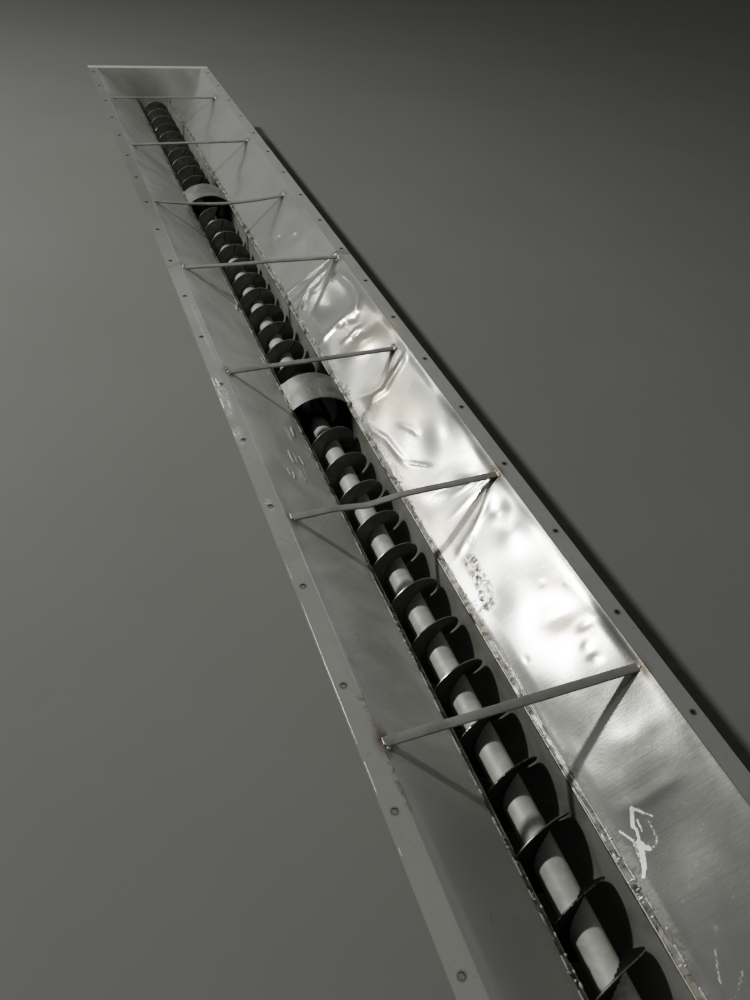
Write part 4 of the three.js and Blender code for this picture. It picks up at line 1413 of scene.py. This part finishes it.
def makeShafts(end, way):
    # A journal between two pipes, and the stub shaft at that end of the screw, with a small centre hole
    low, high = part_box("hanger_journal_" + end)
    makeTurned("journal_" + end, spigotEnd(low.y, 1) + spigotEnd(high.y, -1)[::-1],
               finishes["shaft"], "hanger_journal_" + end)
    low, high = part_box("stub_shaft_" + end)
    inner, outer = (low.y, high.y) if way > 0 else (high.y, low.y)
    r = screw["shaft"]
    tip = [(r, outer - way * 0.002), (r - 0.002, outer), (0.004, outer), (0.003, outer - way * 0.003)]
    makeTurned("stub_" + end, spigotEnd(inner, way) + tip,
               finishes["shaft"], "stub_shaft_" + end)


for end in screw["spans"]:
    makeScrewLength(end)
makeShafts("near", -1)
makeShafts("far", 1)
print("screw made")


# Cast and plate pieces: the frame's own forms with their edges softened, and bolts and welds on them

def softened(name, node, finish, width):
    # A copy of a frame node's mesh, with its place put into the points, and without the edges on flat faces
    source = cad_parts[node]
    mesh = source.data.copy()
    mesh.transform(source.matrix_world)
    mesh.materials.clear()
    edit = bmesh.new()
    edit.from_mesh(mesh)
    bmesh.ops.remove_doubles(edit, verts=edit.verts, dist=1e-5)
    bmesh.ops.dissolve_limit(edit, angle_limit=math.radians(1), verts=edit.verts, edges=edit.edges)
    edit.to_mesh(mesh)
    edit.free()
    return dressed(name, mesh, finish, "frame", [node], bevel=width)


def hexBolt(at, axis, across, height, seed, cols=24):
    # A hexagon head with a turned-down crown over a washer
    axis = np.asarray(axis, float)
    side = np.cross(axis, (0.3, 0.5, 0.8))
    side /= np.linalg.norm(side)
    other = np.cross(axis, side)
    turn = np.linspace(0, 2 * math.pi, cols, endpoint=False) + np.random.default_rng(seed).uniform(0, 1)
    hexagon = 1 / np.cos(turn % (math.pi / 3) - math.pi / 6) * across / 2
    washer = np.full(cols, across * 0.62)
    rows = [(washer, 0.0), (washer, 0.0016), (hexagon, 0.0017), (hexagon, height - 0.0010),
            (np.minimum(hexagon, across * 0.5), height), (np.full(cols, across * 0.2), height)]
    rings = [np.asarray(at) + side * (r * np.cos(turn))[:, None]
             + other * (r * np.sin(turn))[:, None] + axis * h for r, h in rows]
    return tube(np.stack(rings))


castings = {
    "bearingBevel": 0.0016,
    "plateBevel": 0.0006,
    "saddleBevel": 0.0010,
    "bolt": (0.018, 0.0085),                # across flats, height
    "boltInset": 0.016,
    "flange": 0.028,                        # its face lies this far behind the bearing's outer face
}
saddleWeld = {
    "starts": (-160, -115, -70, -45),       # degrees about the screw's axis
    "run": 25,
    "side": 0.0035,                         # from the plate's middle
    "radius": 0.0028,
    "foot": {"reach": 0.12, "side": 0.0038, "height": 0.0065, "radius": 0.0030},
}


def makeEnd(end, side):
    # The hanger bearing, the end bearing with its bolts, and the end plate of one end
    bevel, plateBevel = castings["bearingBevel"], castings["plateBevel"]
    softened("hanger_iron_" + end, "hanger_bearing_" + end, finishes["iron"], bevel)
    softened("end_bearing_iron_" + end, "end_bearing_" + end, finishes["iron"], bevel)
    softened("end_plate_sheet_" + end, "end_plate_" + end, finishes["end"], plateBevel)
    low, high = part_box("end_bearing_" + end)
    face = high.y - castings["flange"] if side > 0 else low.y + castings["flange"]
    reach = (high.x - low.x) / 2 - castings["boltInset"]
    bolts = [hexBolt((a * reach, face, axisZ + b * reach), (0, side, 0), *castings["bolt"], 5 + k)
             for k, (a, b) in enumerate(((-1, -1), (-1, 1), (1, -1), (1, 1)))]
    makePiece("end_bearing_bolts_" + end, joined(bolts), finishes["bolt"], "frame",
              sharp=30)


def makeSaddle(k):
    # A saddle, with beads where it meets the trough and along its foot
    node, parts, look = "saddle_%d" % k, [], saddleWeld
    softened("saddle_plate_%d" % k, node, finishes["saddle"], castings["saddleBevel"])
    low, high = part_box(node)
    middle, foot = (low.y + high.y) / 2, look["foot"]
    for face in (-1, 1):
        for start in look["starts"]:
            turn = np.radians(np.linspace(start, start + look["run"], 12))
            path = aboutAxis(troughRadius + sheet, turn, middle + face * look["side"])
            parts.append(bead(path, (0, face, 0), look["radius"], 300 + k, step=0.002, flatten=0.9))
        path = [(x, middle + face * foot["side"], foot["height"]) for x in (-foot["reach"], foot["reach"])]
        parts.append(bead(path, (0, face, 1), foot["radius"], 310 + k, step=0.002, flatten=0.9))
    makePiece("saddle_weld_%d" % k, joined(parts), finishes["weld"], "frame", sharp=60)


makeEnd("near", -1)
makeEnd("far", 1)
for k in range(1, 5):
    makeSaddle(k)
print("bearings, end plates and saddles made")


# Stage, camera and light

stage = {
    "floor": (0.32, 0.32, 0.31),
    "floorDark": (0.27, 0.27, 0.26),
    "floorSize": 60.0,
    "bright": (0.23, 0.236, 0.23),          # the bright side of the room, near the horizon
    "dark": (0.036, 0.037, 0.036),          # the rest of it
    "fade": (0.40, 1.00),                   # between these heights of the view's direction
    "low": (0.55, 0.56, 0.55),              # a pale band round the horizon
    "lowFade": (0.04, 0.22),
    "side": (-0.35, 0.94),                  # where the bright side is
    # A row of round lamps under a roof: station of each, and their power
    "lamps": [(1.80, 170.0), (4.95, 30.0), (8.0, 4.0)],
    "lampAt": (-4.20, 5.20),                # across and height
    "lampAim": (0.0, -0.8, 0.2),
    "lampSize": 0.34,
    "lampColour": (1.0, 0.985, 0.95),
    "camera": {"at": (-0.6776, -2.510, 1.5978), "yaw": -26.109, "pitch": 48.157, "roll": 7.515,
               "lens": 27.81},
}


def makeFloor():
    half = stage["floorSize"] / 2
    corners = [(-half, -half, 0), (half, -half, 0), (half, half, 0), (-half, half, 0)]
    mesh = bpy.data.meshes.new("floor")
    mesh.from_pydata(corners, [], [(0, 1, 2, 3)])
    floor = placed("floor", mesh)
    pale = Finish("paleFloor")
    tone = pale.noise(1.3, 4.0, 0.6)
    pale.paint(pale.mix(tone.between(0.3, 0.7) * 0.25, stage["floor"], stage["floorDark"]), 0.9)
    mesh.materials.append(pale.material)


def makeRoom():
    # The world's colour by direction: a bright side, dark elsewhere, and a pale band round the horizon
    world = bpy.data.worlds.new("softRoom")
    world.use_nodes = True
    sky = Nodes(world.node_tree)
    way = sky.add("ShaderNodeTexCoord", out="Generated")
    height = sky.add("ShaderNodeSeparateXYZ", values={0: way}, out="Z")
    across, along = height.beside("X"), height.beside("Y")
    facing = (across * stage["side"][0] + along * stage["side"][1]).between(-0.1, 0.6)
    rest = sky.mix(1 - height.between(*stage["lowFade"]), stage["dark"], stage["low"])
    room = sky.mix(facing * (1 - height.between(*stage["fade"])), rest, stage["bright"])
    sky.plug(sky.tree.nodes["Background"].inputs["Color"], room)
    bpy.context.scene.world = world


def makeLamp(k, station, power):
    lamp = bpy.data.lights.new("lamp_%d" % k, "AREA")
    lamp.shape = "DISK"
    lamp.size = stage["lampSize"]
    lamp.energy = power
    lamp.color = stage["lampColour"]
    thing = placed(lamp.name, lamp)
    thing.location = (stage["lampAt"][0], station, stage["lampAt"][1])
    towards = Vector(stage["lampAim"]) - thing.location
    thing.rotation_euler = towards.to_track_quat("-Z", "Y").to_euler()


def makeCamera():
    look = stage["camera"]
    camera = placed("camera", bpy.data.cameras.new("camera"))
    camera.data.lens = look["lens"]
    camera.data.clip_end = 200.0
    pose = Matrix.Translation(look["at"])
    for angle, axis in (("yaw", "Z"), ("pitch", "X"), ("roll", "Z")):
        pose = pose @ Matrix.Rotation(math.radians(look[angle]), 4, axis)
    camera.matrix_world = pose
    bpy.context.scene.camera = camera


makeFloor()
makeRoom()
for k, (station, power) in enumerate(stage["lamps"]):
    makeLamp(k + 1, station, power)
makeCamera()
bpy.context.scene.view_settings.view_transform = "Filmic"
bpy.context.scene.view_settings.look = "High Contrast"
print("stage, lamps and camera made")
